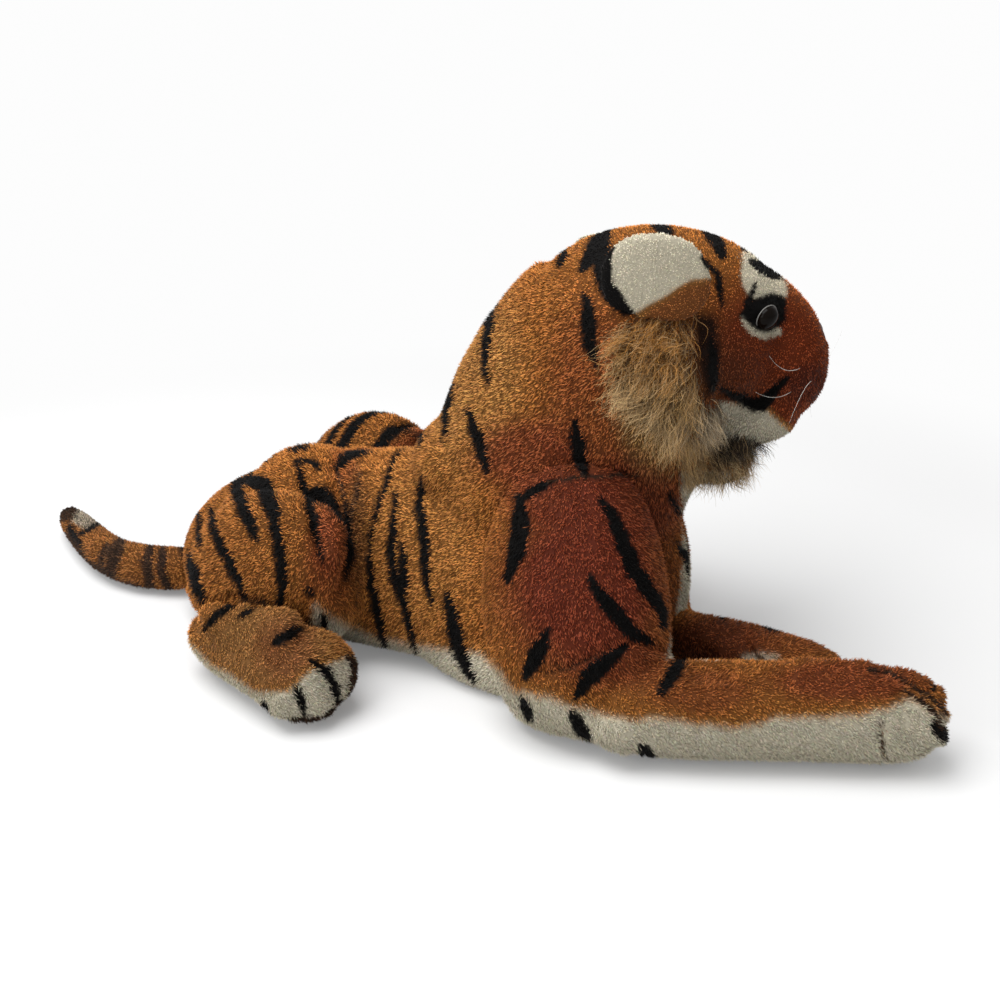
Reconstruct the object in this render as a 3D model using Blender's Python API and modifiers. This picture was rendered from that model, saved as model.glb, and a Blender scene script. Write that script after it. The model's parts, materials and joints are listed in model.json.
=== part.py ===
"""Plush tiger that lies on its belly with its head up and turned to its left.

Metres, +Z up, +X from tail to nose and +Y to the tiger's left. Every stuffed piece is a form that swells
and tapers along a curved spine: a coarse cage from a sphere, smoothed by a Subdivision Surface. A form's
shape is a table of shares of its own named sizes. The larger forms cut the smaller ones, a seam apart.
"""

import math
from dataclasses import dataclass

import bmesh
import bpy
from mathutils import Matrix, Vector

MM = 0.001
RIGHT = -1
LEFT = 1
SIDES = (("right", RIGHT), ("left", LEFT))
UP = Vector((0, 0, 1))
FORWARD = Vector((1, 0, 0))

# Cloth, seams and clearances
CLOTH_WALL = 4 * MM
SEAM_GAP = 0.3 * MM
SWING_GAP = 0.9 * MM
FLOOR_CUT = 0.5 * MM
OVERRUN = 30 * MM

# Cages
CAGE_SIDES = 8
SMALL_CAGE_SIDES = 6
SMOOTHING_LEVELS = 1
FLOOR_SPREAD = 1.22
SWING_STEP = math.radians(18)

# Torso. Each row of a form is a station: along, side, rise, wide and tall, as shares of length, width,
# height, width and height. The first and the last row close the form.
TORSO_LENGTH = 362 * MM
TORSO_WIDTH = 146 * MM
TORSO_HEIGHT = 140 * MM
LOINS_SHARE = 0.657
TORSO_SHARES = (
    (-0.010, 0, 0.26, 0.00, 0.00),
    (0.030, 0, 0.24, 0.54, 0.52),
    (0.110, 0, 0.26, 0.82, 0.82),
    (0.270, 0, 0.28, 0.92, 1.15),
    (0.500, 0, 0.28, 0.94, 1.31),
    (0.700, 0, 0.30, 1.20, 1.39),
    (0.860, 0, 0.33, 1.20, 1.32),
    (0.945, 0, 0.36, 0.78, 0.98),
    (0.985, 0, 0.38, 0.00, 0.00),
)
NECK_OPENING = 70 * MM

# Neck and chest, one column that leans forward; it stands up, so its rise is towards the nape
NECK_ALONG_SHARE = 0.752
NECK_LIFT = 60 * MM
NECK_LENGTH = 230 * MM
NECK_WIDTH = 148 * MM
NECK_DEPTH = 182 * MM
NECK_LEAN = math.radians(27)
NECK_SHARES = (
    (-0.15, 0, 0.02, 0.00, 0.00),
    (0.00, 0, 0.05, 0.92, 0.88),
    (0.30, 0, 0.16, 1.00, 0.98),
    (0.56, 0, 0.178, 0.91, 0.93),
    (0.78, 0, 0.162, 0.85, 0.80),
    (0.93, 0, 0.123, 0.73, 0.57),
    (1.02, 0, 0.090, 0.00, 0.00),
)

# Head joint: the axis leans forward along the column, and the head is cut square to it
HEAD_PIVOT_ALONG_SHARE = 0.913
HEAD_PIVOT_LIFT = 206 * MM
HEAD_AXIS_LEAN = math.radians(40)
HEAD_TURN = math.radians(20)
HEAD_SWING = math.radians(15)

# Head
HEAD_LENGTH = 160 * MM
HEAD_WIDTH = 128 * MM
HEAD_HEIGHT = 132 * MM
HEAD_LIFT = 226 * MM
HEAD_START = 76 * MM
HEAD_SHARES = (
    (0.00, 0, 0.04, 0.00, 0.00),
    (0.10, 0, 0.04, 0.69, 0.66),
    (0.32, 0, 0.015, 0.97, 0.94),
    (0.57, 0, -0.005, 1.01, 1.00),
    (0.79, 0, -0.015, 0.88, 0.87),
    (0.95, 0, -0.015, 0.61, 0.61),
    (1.02, 0, -0.04, 0.00, 0.00),
)

# Muzzle and chin, along the head
MUZZLE_LENGTH = 68 * MM
MUZZLE_WIDTH = 70 * MM
MUZZLE_HEIGHT = 68 * MM
MUZZLE_REACH = 39 * MM
MUZZLE_DROP = 20 * MM
MUZZLE_SHARES = (
    (0.00, 0, 0.16, 0.00, 0.00),
    (0.16, 0, 0.14, 0.86, 0.96),
    (0.46, 0, 0.05, 1.00, 1.04),
    (0.76, 0, -0.02, 0.94, 0.92),
    (0.95, 0, -0.06, 0.66, 0.66),
    (1.00, 0, -0.08, 0.00, 0.00),
)
CHIN_LENGTH = 72 * MM
CHIN_WIDTH = 56 * MM
CHIN_HEIGHT = 44 * MM
CHIN_REACH = 24 * MM
CHIN_DROP = 57 * MM
CHIN_SHARES = (
    (0.00, 0, 0.10, 0.00, 0.00),
    (0.16, 0, 0.06, 0.80, 0.80),
    (0.50, 0, 0.00, 1.00, 1.00),
    (0.82, 0, 0.02, 0.74, 0.76),
    (1.00, 0, 0.06, 0.00, 0.00),
)

# Nose: a plastic button in a seat of the muzzle
NOSE_WIDTH = 24 * MM
NOSE_HEIGHT = 15 * MM
NOSE_DEPTH = 12 * MM
NOSE_SINK_SHARE = 0.35
NOSE_RISE_SHARE = 0.24
NOSE_SIDES = 12

# Eyes: a domed button whose stem goes through the cloth to a lock washer
EYE_RADIUS = 8 * MM
EYE_DOME = 5 * MM
EYE_RIM = 1.2 * MM
EYE_SINK = 1.6 * MM
EYE_STEM_RADIUS = 2.4 * MM
EYE_STEM_LENGTH = 13 * MM
EYE_ALONG_SHARE = 0.76
EYE_RISE_SHARE = 0.04
EYE_YAW = math.radians(62)
EYE_PITCH = math.radians(12)
WASHER_RADIUS = 7 * MM
WASHER_THICKNESS = 1.6 * MM
WASHER_SINK = 2.6 * MM
FIT_GAP = 0.3 * MM
ROUND_STEPS = 16
WELD_DISTANCE = 0.02 * MM
DOME_STEPS = 5

# Ears: flaps that stand out from the sides of the head
EAR_HEIGHT = 52 * MM
EAR_WIDTH = 70 * MM
EAR_THICKNESS = 15 * MM
EAR_ALONG_SHARE = 0.44
EAR_ROOT_PITCH = math.radians(22)
EAR_LEANS = {"right": math.radians(12), "left": math.radians(62)}
EAR_TURN = math.radians(14)
EAR_FOLDS = {"right": math.radians(20), "left": math.radians(6)}
EAR_LIFT = math.radians(20)
EAR_SHARES = (
    (-0.20, 0, 0.0, 0.00, 0.00),
    (-0.06, 0, 0.0, 0.72, 0.92),
    (0.24, 0, 0.0, 0.98, 1.00),
    (0.60, 0, 0.0, 0.94, 0.84),
    (0.88, 0, 0.0, 0.62, 0.66),
    (1.00, 0, 0.0, 0.00, 0.00),
)

# Cheek ruffs: pads of long pile behind the jaw
RUFF_LENGTH = 84 * MM
RUFF_HEIGHT = 92 * MM
RUFF_THICKNESS = 34 * MM
RUFF_ALONG_SHARE = 0.22
RUFF_OUT_SHARE = 0.45
RUFF_DROP_SHARE = 0.18
RUFF_SHARES = (
    (0.00, 0, 0.02, 0.00, 0.00),
    (0.14, 0, 0.00, 0.80, 0.76),
    (0.50, 0, -0.02, 1.00, 1.00),
    (0.86, 0, -0.04, 0.80, 0.72),
    (1.00, 0, -0.05, 0.00, 0.00),
)

# Whiskers: stiff threads out of the muzzle. Each row is along, rise, sweep back and droop
WHISKER_RADIUS = 0.5 * MM
WHISKER_LENGTH = 46 * MM
WHISKER_POINTS = 7
WHISKER_BEVEL_STEPS = 2
WHISKER_SHARES = {
    "right": ((0.72, 0.02, 0.90, -0.35), (0.68, -0.22, 1.00, -0.20), (0.84, -0.10, 0.60, 0.30)),
    "left": ((0.80, -0.34, -1.20, -0.60), (0.74, -0.38, -0.70, 0.60), (0.60, -0.22, -0.30, -0.40)),
}

# Upper arms: shoulders that run down to the elbows; they stand up, so their rise is towards the tail
SHOULDER_ALONG_SHARES = {"right": 0.845, "left": 0.800}
SHOULDER_OUT = 70 * MM
UPPER_ARM_LENGTH = 172 * MM
UPPER_ARM_WIDTH = 82 * MM
UPPER_ARM_DEPTH = 122 * MM
UPPER_ARM_SHARES = (
    (-0.06, 0.42, -0.18, 0.00, 0.00),
    (0.04, 0.44, -0.17, 0.93, 0.82),
    (0.31, 0.31, -0.10, 1.05, 0.97),
    (0.61, 0.04, 0.00, 0.93, 0.97),
    (0.89, -0.18, 0.03, 0.52, 0.60),
    (1.00, -0.26, 0.03, 0.00, 0.00),
)

# Forearms with their paws. The right one lies ahead of its elbow and the left one crosses the chest.
# The elbow's place is forward and out of the shoulder, as shares of the upper arm's depth and width.
FOREARM_WIDTH = 58 * MM
FOREARM_HEIGHT = 59 * MM
ELBOW_SHARES = {"right": (0.36, 0.63), "left": (0.40, 0.18)}
FOREARM_LENGTHS = {"right": 190 * MM, "left": 182 * MM}
FOREARM_HEADINGS = {"right": math.radians(16), "left": math.radians(-38)}
FOREARM_SHARES = {
    "right": (
        (-0.14, 0.00, 0.46, 0.00, 0.00),
        (-0.03, -0.02, 0.46, 0.96, 0.88),
        (0.22, -0.07, 0.47, 1.18, 1.02),
        (0.54, -0.06, 0.47, 1.10, 0.96),
        (0.80, 0.00, 0.50, 1.08, 1.04),
        (0.95, 0.04, 0.46, 0.86, 0.88),
        (1.00, 0.05, 0.40, 0.00, 0.00),
    ),
    "left": (
        (-0.08, 0.16, 0.42, 0.00, 0.00),
        (0.00, 0.00, 0.42, 0.76, 0.74),
        (0.18, -0.36, 0.34, 0.74, 0.62),
        (0.36, -0.80, 0.33, 0.68, 0.58),
        (0.57, -0.92, 0.39, 0.82, 0.76),
        (0.78, -0.46, 0.40, 0.86, 0.80),
        (0.96, -0.10, 0.36, 0.60, 0.62),
        (1.00, -0.02, 0.32, 0.00, 0.00),
    ),
}
FORELEG_OUT = math.radians(12)
FORELEG_IN = math.radians(2)

# Haunches
HAUNCH_ALONG_SHARE = 0.312
HAUNCH_OUT = 84 * MM
HAUNCH_LENGTH = 126 * MM
HAUNCH_WIDTH = 82 * MM
HAUNCH_HEIGHT = 124 * MM
HAUNCH_SHARES = (
    (0.00, 0.08, 0.44, 0.00, 0.00),
    (0.10, 0.06, 0.45, 0.60, 0.56),
    (0.36, 0.00, 0.51, 0.94, 0.94),
    (0.64, -0.02, 0.54, 1.00, 1.00),
    (0.88, 0.04, 0.56, 0.66, 0.66),
    (1.00, 0.08, 0.58, 0.00, 0.00),
)

# Hind feet, turned out under the haunches
FOOT_ALONG_SHARE = 0.16
FOOT_OUT = 90 * MM
FOOT_LENGTH = 142 * MM
FOOT_WIDTH = 66 * MM
FOOT_HEIGHT = 58 * MM
FOOT_TURN = math.radians(28)
FOOT_PIVOT_SHARE = 0.24
FOOT_SWING = math.radians(8)
FOOT_SHARES = (
    (0.00, 0.00, 0.42, 0.00, 0.00),
    (0.08, 0.00, 0.42, 0.74, 0.74),
    (0.34, -0.06, 0.46, 0.96, 0.94),
    (0.66, -0.10, 0.48, 1.02, 1.00),
    (0.90, -0.08, 0.46, 1.00, 0.94),
    (1.00, -0.06, 0.42, 0.00, 0.00),
)

# Tail: lies on the floor and curls to the tiger's left
TAIL_LENGTH = 171 * MM
TAIL_WIDTH = 37 * MM
TAIL_HEIGHT = 37 * MM
TAIL_SINK = 12 * MM
TAIL_SWING = math.radians(10)
TAIL_SHARES = (
    (-0.06, 0.00, 0.48, 0.00, 0.00),
    (0.00, 0.02, 0.48, 0.94, 0.94),
    (0.28, 0.40, 0.46, 0.96, 0.96),
    (0.51, -0.02, 0.43, 0.86, 0.86),
    (0.74, -0.92, 0.38, 0.73, 0.73),
    (0.95, -1.74, 0.34, 0.60, 0.62),
    (1.00, -1.92, 0.34, 0.00, 0.00),
)

# Finishes: name, base colour, roughness
FINISHES = {
    "tan_plush": ((0.42, 0.19, 0.06), 0.95),
    "rust_plush": ((0.24, 0.06, 0.025), 0.95),
    "cream_plush": ((0.62, 0.58, 0.47), 0.95),
    "ruff_plush": ((0.45, 0.32, 0.16), 0.97),
    "polyester_fill": ((0.85, 0.85, 0.85), 0.90),
    "eye_plastic": ((0.02, 0.012, 0.008), 0.08),
    "washer_plastic": ((0.80, 0.80, 0.80), 0.40),
    "nose_plastic": ((0.20, 0.06, 0.05), 0.35),
    "whisker_nylon": ((0.75, 0.75, 0.72), 0.30),
}


@dataclass
class Form:
    """A stuffed shape: its cage, and the placing that its pieces share."""

    mesh: bpy.types.Mesh
    frame: Matrix


def clear_scene():
    """Remove what the file opened with."""
    for old in list(bpy.data.objects):
        bpy.data.objects.remove(old, do_unlink=True)


def new_collection(name):
    """Make a collection in the scene."""
    collection = bpy.data.collections.new(name)
    bpy.context.scene.collection.children.link(collection)
    return collection


def finish(name):
    """Return the named material, made on first use."""
    if name in bpy.data.materials:
        return bpy.data.materials[name]
    colour, roughness = FINISHES[name]
    material = bpy.data.materials.new(name)
    material.use_nodes = True
    shader = material.node_tree.nodes["Principled BSDF"]
    shader.inputs["Base Color"].default_value = (*colour, 1)
    shader.inputs["Roughness"].default_value = roughness
    return material


def lying(x, y, z, heading):
    """Frame of a form that lies along the floor: its length points along the heading."""
    return Matrix.Translation((x, y, z)) @ Matrix.Rotation(heading, 4, "Z")


def standing(x, y, z, lean, heading=0):
    """Frame of a form that stands up and leans forward: its length points up, its rise points back."""
    pitch = lean - math.pi / 2
    return lying(x, y, z, heading) @ Matrix.Rotation(pitch, 4, "Y")


def shape_form(name, shares, size, frame, side=LEFT, sides=CAGE_SIDES, on_floor=False):
    """Make the cage of a form from a sphere whose rings move to the stations.

    A side of RIGHT mirrors the form. A form on the floor is pressed flat there, and spreads. A ring of
    cage points smooths to a smaller one, so each starts larger by the ratio that a cubic ring shrinks by.
    """
    length, width, height = size
    swell = 3 / (2 + math.cos(math.tau / sides))
    spine = [Vector((row[0] * length, side * row[1] * width, row[2] * height)) for row in shares]
    last = len(shares) - 1
    cage = bmesh.new()
    bmesh.ops.create_uvsphere(cage, u_segments=sides, v_segments=last, radius=1)
    for vert in cage.verts:
        ring = round(math.acos(max(-1, min(1, vert.co.z))) / math.pi * last)
        turn = math.atan2(vert.co.y, vert.co.x)
        tangent = (spine[min(ring + 1, last)] - spine[max(ring - 1, 0)]).normalized()
        lateral = UP.cross(tangent).normalized()
        lift = tangent.cross(lateral)
        across = lateral * (math.cos(turn) * shares[ring][3] * width / 2 * swell)
        above = lift * (math.sin(turn) * shares[ring][4] * height / 2 * swell)
        placed = frame @ (spine[ring] + above + across)
        if on_floor and placed.z < -FLOOR_CUT:
            placed = frame @ (spine[ring] + above + across * FLOOR_SPREAD)
            placed.z = -FLOOR_CUT
        vert.co = frame.inverted() @ placed
    bmesh.ops.reverse_faces(cage, faces=cage.faces)
    mesh = bpy.data.meshes.new(name)
    cage.to_mesh(mesh)
    cage.free()
    mesh.shade_smooth()
    return Form(mesh, frame.copy())


def smooth(piece):
    """Round a cage, and split its faces the same way on each copy, so that grown copies stay parallel."""
    modifier = piece.modifiers.new("Smooth", "SUBSURF")
    modifier.levels = SMOOTHING_LEVELS
    modifier.render_levels = SMOOTHING_LEVELS
    split = piece.modifiers.new("Triangles", "TRIANGULATE")
    split.quad_method = "FIXED"


def swell_by(piece, amount):
    """Move a surface out along its normals, or in where the amount is negative."""
    modifier = piece.modifiers.new("Clearance", "DISPLACE")
    modifier.strength = amount
    modifier.mid_level = 0


class Tiger:
    """The toy's pieces, the cutters that shape them, and the pivots that carry what moves."""

    def __init__(self):
        self.parts = new_collection("plush_tiger")
        self.cutters = new_collection("cutters")
        self.root = bpy.data.objects.new("tiger_origin", None)
        self.parts.objects.link(self.root)
        self.pivots = {}
        self.joints = {}

    def pivot(self, name, point, axis, limits, carrier=None):
        """Add an empty on a joint's axis, under its carrier, and note the joint."""
        empty = self.place(bpy.data.objects.new(name + "_pivot", None), Matrix.Translation(point), carrier)
        self.pivots[empty.name] = Matrix.Translation(point)
        self.joints[name] = (point.copy(), axis.copy(), limits)
        return empty

    def centre(self):
        """Move the toy so that its bounds are centred on the origin and it stands on the floor."""
        bpy.context.view_layer.update()
        graph = bpy.context.evaluated_depsgraph_get()
        corners = []
        for piece in self.parts.objects:
            if piece.type == "MESH":
                solid = piece.evaluated_get(graph)
                corners += [piece.matrix_world @ Vector(corner) for corner in solid.bound_box]
        low = Vector(min(corner[i] for corner in corners) for i in range(3))
        high = Vector(max(corner[i] for corner in corners) for i in range(3))
        self.root.location = (-(low.x + high.x) / 2, -(low.y + high.y) / 2, -low.z)
        for name, (point, axis, limits) in self.joints.items():
            placed = [round(value, 5) for value in point + self.root.location]
            degrees = [round(math.degrees(limit), 2) for limit in limits]
            print("JOINT", name, placed, [round(value, 5) for value in axis], degrees)

    def place(self, piece, frame, carrier=None):
        """Put a piece in the parts, under its carrier, where the frame says."""
        self.parts.objects.link(piece)
        carrier = carrier or self.root
        piece.parent = carrier
        piece.matrix_parent_inverse = self.pivots.get(carrier.name, Matrix()).inverted()
        piece.matrix_basis = frame
        return piece

    def stuffed(self, name, form, finish_name, carrier=None, inset=0):
        """Add a piece with a form's shape, inset by the walls that lie over it."""
        mesh = form.mesh.copy()
        mesh.materials.append(finish(finish_name))
        piece = bpy.data.objects.new(name, mesh)
        smooth(piece)
        if inset:
            swell_by(piece, -inset)
        return self.place(piece, form.frame, carrier)

    def cutter(self, name, mesh, frame):
        """Add a cutter, which is no part of the toy."""
        tool = bpy.data.objects.new(name, mesh)
        tool.matrix_world = frame
        tool.hide_render = True
        tool.display_type = "WIRE"
        self.cutters.objects.link(tool)
        tool.parent = self.root
        return tool

    def form_cutter(self, name, form, gap, turn=Matrix()):
        """Add a cutter with a form's shape, grown by a gap and turned about a joint."""
        tool = self.cutter(name, form.mesh, turn @ form.frame)
        smooth(tool)
        swell_by(tool, gap)
        return tool

    def box_cutter(self, name, frame, low, high):
        """Add a box between two corners of a frame."""
        low, high = Vector(low), Vector(high)
        box = bmesh.new()
        bmesh.ops.create_cube(box, size=1)
        for vert in box.verts:
            vert.co = (low + high) / 2 + Vector(vert.co[i] * (high[i] - low[i]) for i in range(3))
        mesh = bpy.data.meshes.new(name)
        box.to_mesh(mesh)
        box.free()
        return self.cutter(name, mesh, frame)

    def rod_cutter(self, name, frame, radius, start, end):
        """Add a round rod along a frame's Z."""
        rod = bmesh.new()
        bmesh.ops.create_cone(
            rod, cap_ends=True, segments=ROUND_STEPS, radius1=radius, radius2=radius, depth=end - start
        )
        bmesh.ops.translate(rod, verts=rod.verts, vec=(0, 0, (start + end) / 2))
        mesh = bpy.data.meshes.new(name)
        rod.to_mesh(mesh)
        rod.free()
        return self.cutter(name, mesh, frame)


def cut(piece, *tools):
    """Cut a piece by each tool in turn."""
    for tool in tools:
        modifier = piece.modifiers.new("Cut by " + tool.name, "BOOLEAN")
        modifier.operation = "DIFFERENCE"
        modifier.solver = "EXACT"
        modifier.object = tool


def turned_about(pivot, axis, angle):
    """Turn about a joint."""
    return Matrix.Translation(pivot) @ Matrix.Rotation(angle, 4, axis) @ Matrix.Translation(-pivot)


def swing_clearance(tiger, piece, neighbours, pivot, axis, limits):
    """Cut a moving piece by its neighbours as they pass it, from one limit of the joint to the other."""
    low, high = limits
    count = math.ceil((high - low) / SWING_STEP)
    for form_name, form in neighbours.items():
        for number in range(count + 1):
            angle = low + (high - low) * number / count
            name = f"{piece.name}_{form_name}_swing_{number}"
            cut(piece, tiger.form_cutter(name, form, SWING_GAP, turned_about(pivot, axis, -angle)))


def from_rear(share):
    """X of a place at a share of the torso's length from its rear end; zero lies under the loins."""
    return (share - LOINS_SHARE) * TORSO_LENGTH


def build_torso(tiger, floor):
    """Add the torso's cloth and filling."""
    frame = lying(from_rear(0), 0, 0, 0)
    size = (TORSO_LENGTH, TORSO_WIDTH, TORSO_HEIGHT)
    form = shape_form("torso", TORSO_SHARES, size, frame, on_floor=True)
    casing = tiger.stuffed("torso_casing", form, "tan_plush")
    tiger.stuffed("torso_stuffing", form, "polyester_fill", inset=CLOTH_WALL + SEAM_GAP)
    neck = neck_frame()
    mouth = tiger.rod_cutter(
        "neck_mouth", neck @ Matrix.Rotation(math.pi / 2, 4, "Y"), NECK_OPENING / 2, 0, TORSO_HEIGHT
    )
    cut(casing, floor, tiger.form_cutter("torso_hollow", form, -CLOTH_WALL), mouth)
    return form


def neck_frame():
    """Frame of the neck's column."""
    return standing(from_rear(NECK_ALONG_SHARE), 0, NECK_LIFT, NECK_LEAN)


def head_pivot():
    """Point and direction of the head's axis."""
    point = Vector((from_rear(HEAD_PIVOT_ALONG_SHARE), 0, HEAD_PIVOT_LIFT))
    axis = Vector((math.sin(HEAD_AXIS_LEAN), 0, math.cos(HEAD_AXIS_LEAN)))
    return point, axis


def build_neck(tiger, torso):
    """Add the neck and chest, cut square to the head's axis."""
    size = (NECK_LENGTH, NECK_WIDTH, NECK_DEPTH)
    form = shape_form("neck", NECK_SHARES, size, neck_frame())
    neck = tiger.stuffed("neck_chest", form, "tan_plush")
    cut(neck, tiger.form_cutter("torso_for_neck", torso, SEAM_GAP))
    point, _ = head_pivot()
    above = Matrix.Translation(point) @ Matrix.Rotation(HEAD_AXIS_LEAN, 4, "Y")
    reach = NECK_LENGTH
    cut(neck, tiger.box_cutter("above_neck", above, (-reach, -reach, 0), (reach, reach, reach)))
    return form


def build_head(tiger):
    """Add the head's cloth and filling, open at its base, and return its form."""
    point, axis = head_pivot()
    turned = lying(point.x, point.y, 0, HEAD_TURN)
    frame = turned @ Matrix.Translation((-HEAD_START, 0, HEAD_LIFT))
    size = (HEAD_LENGTH, HEAD_WIDTH, HEAD_HEIGHT)
    form = shape_form("head", HEAD_SHARES, size, frame)
    carrier = tiger.pivot("head_turn", point, axis, (-HEAD_SWING, HEAD_SWING))
    below = below_head(tiger)
    casing = tiger.stuffed("head_casing", form, "rust_plush", carrier)
    cut(casing, below, tiger.form_cutter("head_hollow", form, -CLOTH_WALL))
    fill = tiger.stuffed("head_stuffing", form, "polyester_fill", carrier, CLOTH_WALL + SEAM_GAP)
    cut(fill, below)
    return form, casing, fill, carrier


def below_head(tiger, name="below_head", turn=Matrix()):
    """Return the cutter below the head, a swing gap over the neck, turned about a joint."""
    if name in bpy.data.objects:
        return bpy.data.objects[name]
    point, _ = head_pivot()
    frame = turn @ Matrix.Translation(point) @ Matrix.Rotation(HEAD_AXIS_LEAN, 4, "Y")
    reach = NECK_LENGTH
    return tiger.box_cutter(name, frame, (-reach, -reach, -reach), (reach, reach, SWING_GAP))


def seat_on(piece, origin, direction):
    """Return where a ray from inside a piece leaves it, and the surface's direction there, in the world."""
    bpy.context.view_layer.update()
    world = piece.matrix_world.inverted()
    start = world @ origin
    ray = (world.to_3x3() @ direction).normalized()
    solid = piece.evaluated_get(bpy.context.evaluated_depsgraph_get())
    far = start + ray * (HEAD_LENGTH + HEAD_WIDTH)
    hit, place, normal, _ = solid.ray_cast(far, -ray)
    if not hit:
        raise ValueError(f"nothing to seat on at {piece.name}")
    return piece.matrix_world @ place, (piece.matrix_world.to_3x3() @ normal).normalized()


def towards(yaw, pitch):
    """Direction out of the head, from its own forward."""
    return Vector(
        (
            math.cos(HEAD_TURN + yaw) * math.cos(pitch),
            math.sin(HEAD_TURN + yaw) * math.cos(pitch),
            math.sin(pitch),
        )
    )


def aimed(place, direction):
    """Frame at a place whose Z points along a direction, and whose Y leans up."""
    out = direction.normalized()
    lateral = UP.cross(out).normalized()
    turn = Matrix((lateral, out.cross(lateral), out)).transposed().to_4x4()
    return Matrix.Translation(place) @ turn


def turned_piece(name, profile, finish_name):
    """Turn a profile of (radius, height) points about Z with a Screw modifier."""
    mesh = bpy.data.meshes.new(name)
    line = bmesh.new()
    points = [line.verts.new((radius, 0, height)) for radius, height in profile]
    for start, end in zip(points, points[1:]):
        line.edges.new((start, end))
    line.to_mesh(mesh)
    line.free()
    mesh.materials.append(finish(finish_name))
    piece = bpy.data.objects.new(name, mesh)
    screw = piece.modifiers.new("Turn", "SCREW")
    screw.steps = ROUND_STEPS
    screw.render_steps = ROUND_STEPS
    screw.use_merge_vertices = True
    screw.merge_threshold = WELD_DISTANCE
    screw.use_smooth_shade = True
    return piece


def build_eye(tiger, side_name, side, head_form, casing, fill, carrier):
    """Add one safety eye, its lock washer, and the cuts that they need."""
    inside = head_form.frame @ Vector((EYE_ALONG_SHARE * HEAD_LENGTH, 0, EYE_RISE_SHARE * HEAD_HEIGHT))
    surface, outward = seat_on(casing, inside, towards(side * EYE_YAW, EYE_PITCH))
    frame = aimed(surface - outward * EYE_SINK, outward)
    profile = [(0, EYE_RIM + EYE_DOME)]
    for number in range(1, DOME_STEPS + 1):
        angle = math.pi / 2 * number / DOME_STEPS
        profile.append((EYE_RADIUS * math.sin(angle), EYE_RIM + EYE_DOME * math.cos(angle)))
    profile += [
        (EYE_RADIUS, 0),
        (EYE_STEM_RADIUS, 0),
        (EYE_STEM_RADIUS, -EYE_STEM_LENGTH),
        (0, -EYE_STEM_LENGTH),
    ]
    eye = turned_piece(f"eye_{side_name}", profile, "eye_plastic")
    tiger.place(eye, frame, carrier)
    seat = tiger.rod_cutter(f"eye_seat_{side_name}", frame, EYE_RADIUS + FIT_GAP, -FIT_GAP, OVERRUN)
    depth = EYE_STEM_LENGTH + FIT_GAP
    bore = tiger.rod_cutter(f"eye_bore_{side_name}", frame, EYE_STEM_RADIUS + FIT_GAP, -depth, OVERRUN)
    cut(casing, seat, bore)
    hole = EYE_STEM_RADIUS + FIT_GAP
    top = EYE_SINK - CLOTH_WALL - WASHER_SINK
    bottom = top - WASHER_THICKNESS
    ring = [(hole, top), (WASHER_RADIUS, top), (WASHER_RADIUS, bottom), (hole, bottom), (hole, top)]
    washer = turned_piece(f"eye_washer_{side_name}", ring, "washer_plastic")
    tiger.place(washer, frame, carrier)
    pocket = tiger.rod_cutter(
        f"eye_pocket_{side_name}", frame, WASHER_RADIUS + FIT_GAP, bottom - FIT_GAP, OVERRUN
    )
    cut(fill, pocket, bore)


def build_ear(tiger, side_name, side, head_form, casing, carrier):
    """Add one ear, which folds at its root."""
    inside = head_form.frame @ Vector((EAR_ALONG_SHARE * HEAD_LENGTH, 0, 0))
    surface, _ = seat_on(casing, inside, towards(side * math.pi / 2, EAR_ROOT_PITCH))
    heading = HEAD_TURN + side * (math.pi / 2 + EAR_TURN)
    frame = standing(surface.x, surface.y, surface.z, EAR_LEANS[side_name], heading)
    axis = (frame.to_3x3() @ Vector((0, 1, 0))) * side
    limits = (-EAR_LIFT, EAR_FOLDS[side_name])
    pivot = tiger.pivot(f"ear_{side_name}_fold", surface, axis, limits, carrier)
    size = (EAR_HEIGHT, EAR_WIDTH, EAR_THICKNESS)
    form = shape_form(f"ear_{side_name}", EAR_SHARES, size, frame, side, SMALL_CAGE_SIDES)
    ear = tiger.stuffed(f"ear_{side_name}", form, "cream_plush", pivot)
    swing_clearance(tiger, ear, {"head": head_form}, surface, axis, limits)
    folded = turned_about(surface, axis, -limits[1])
    cut(ear, below_head(tiger), below_head(tiger, f"below_folded_ear_{side_name}", folded))


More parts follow.
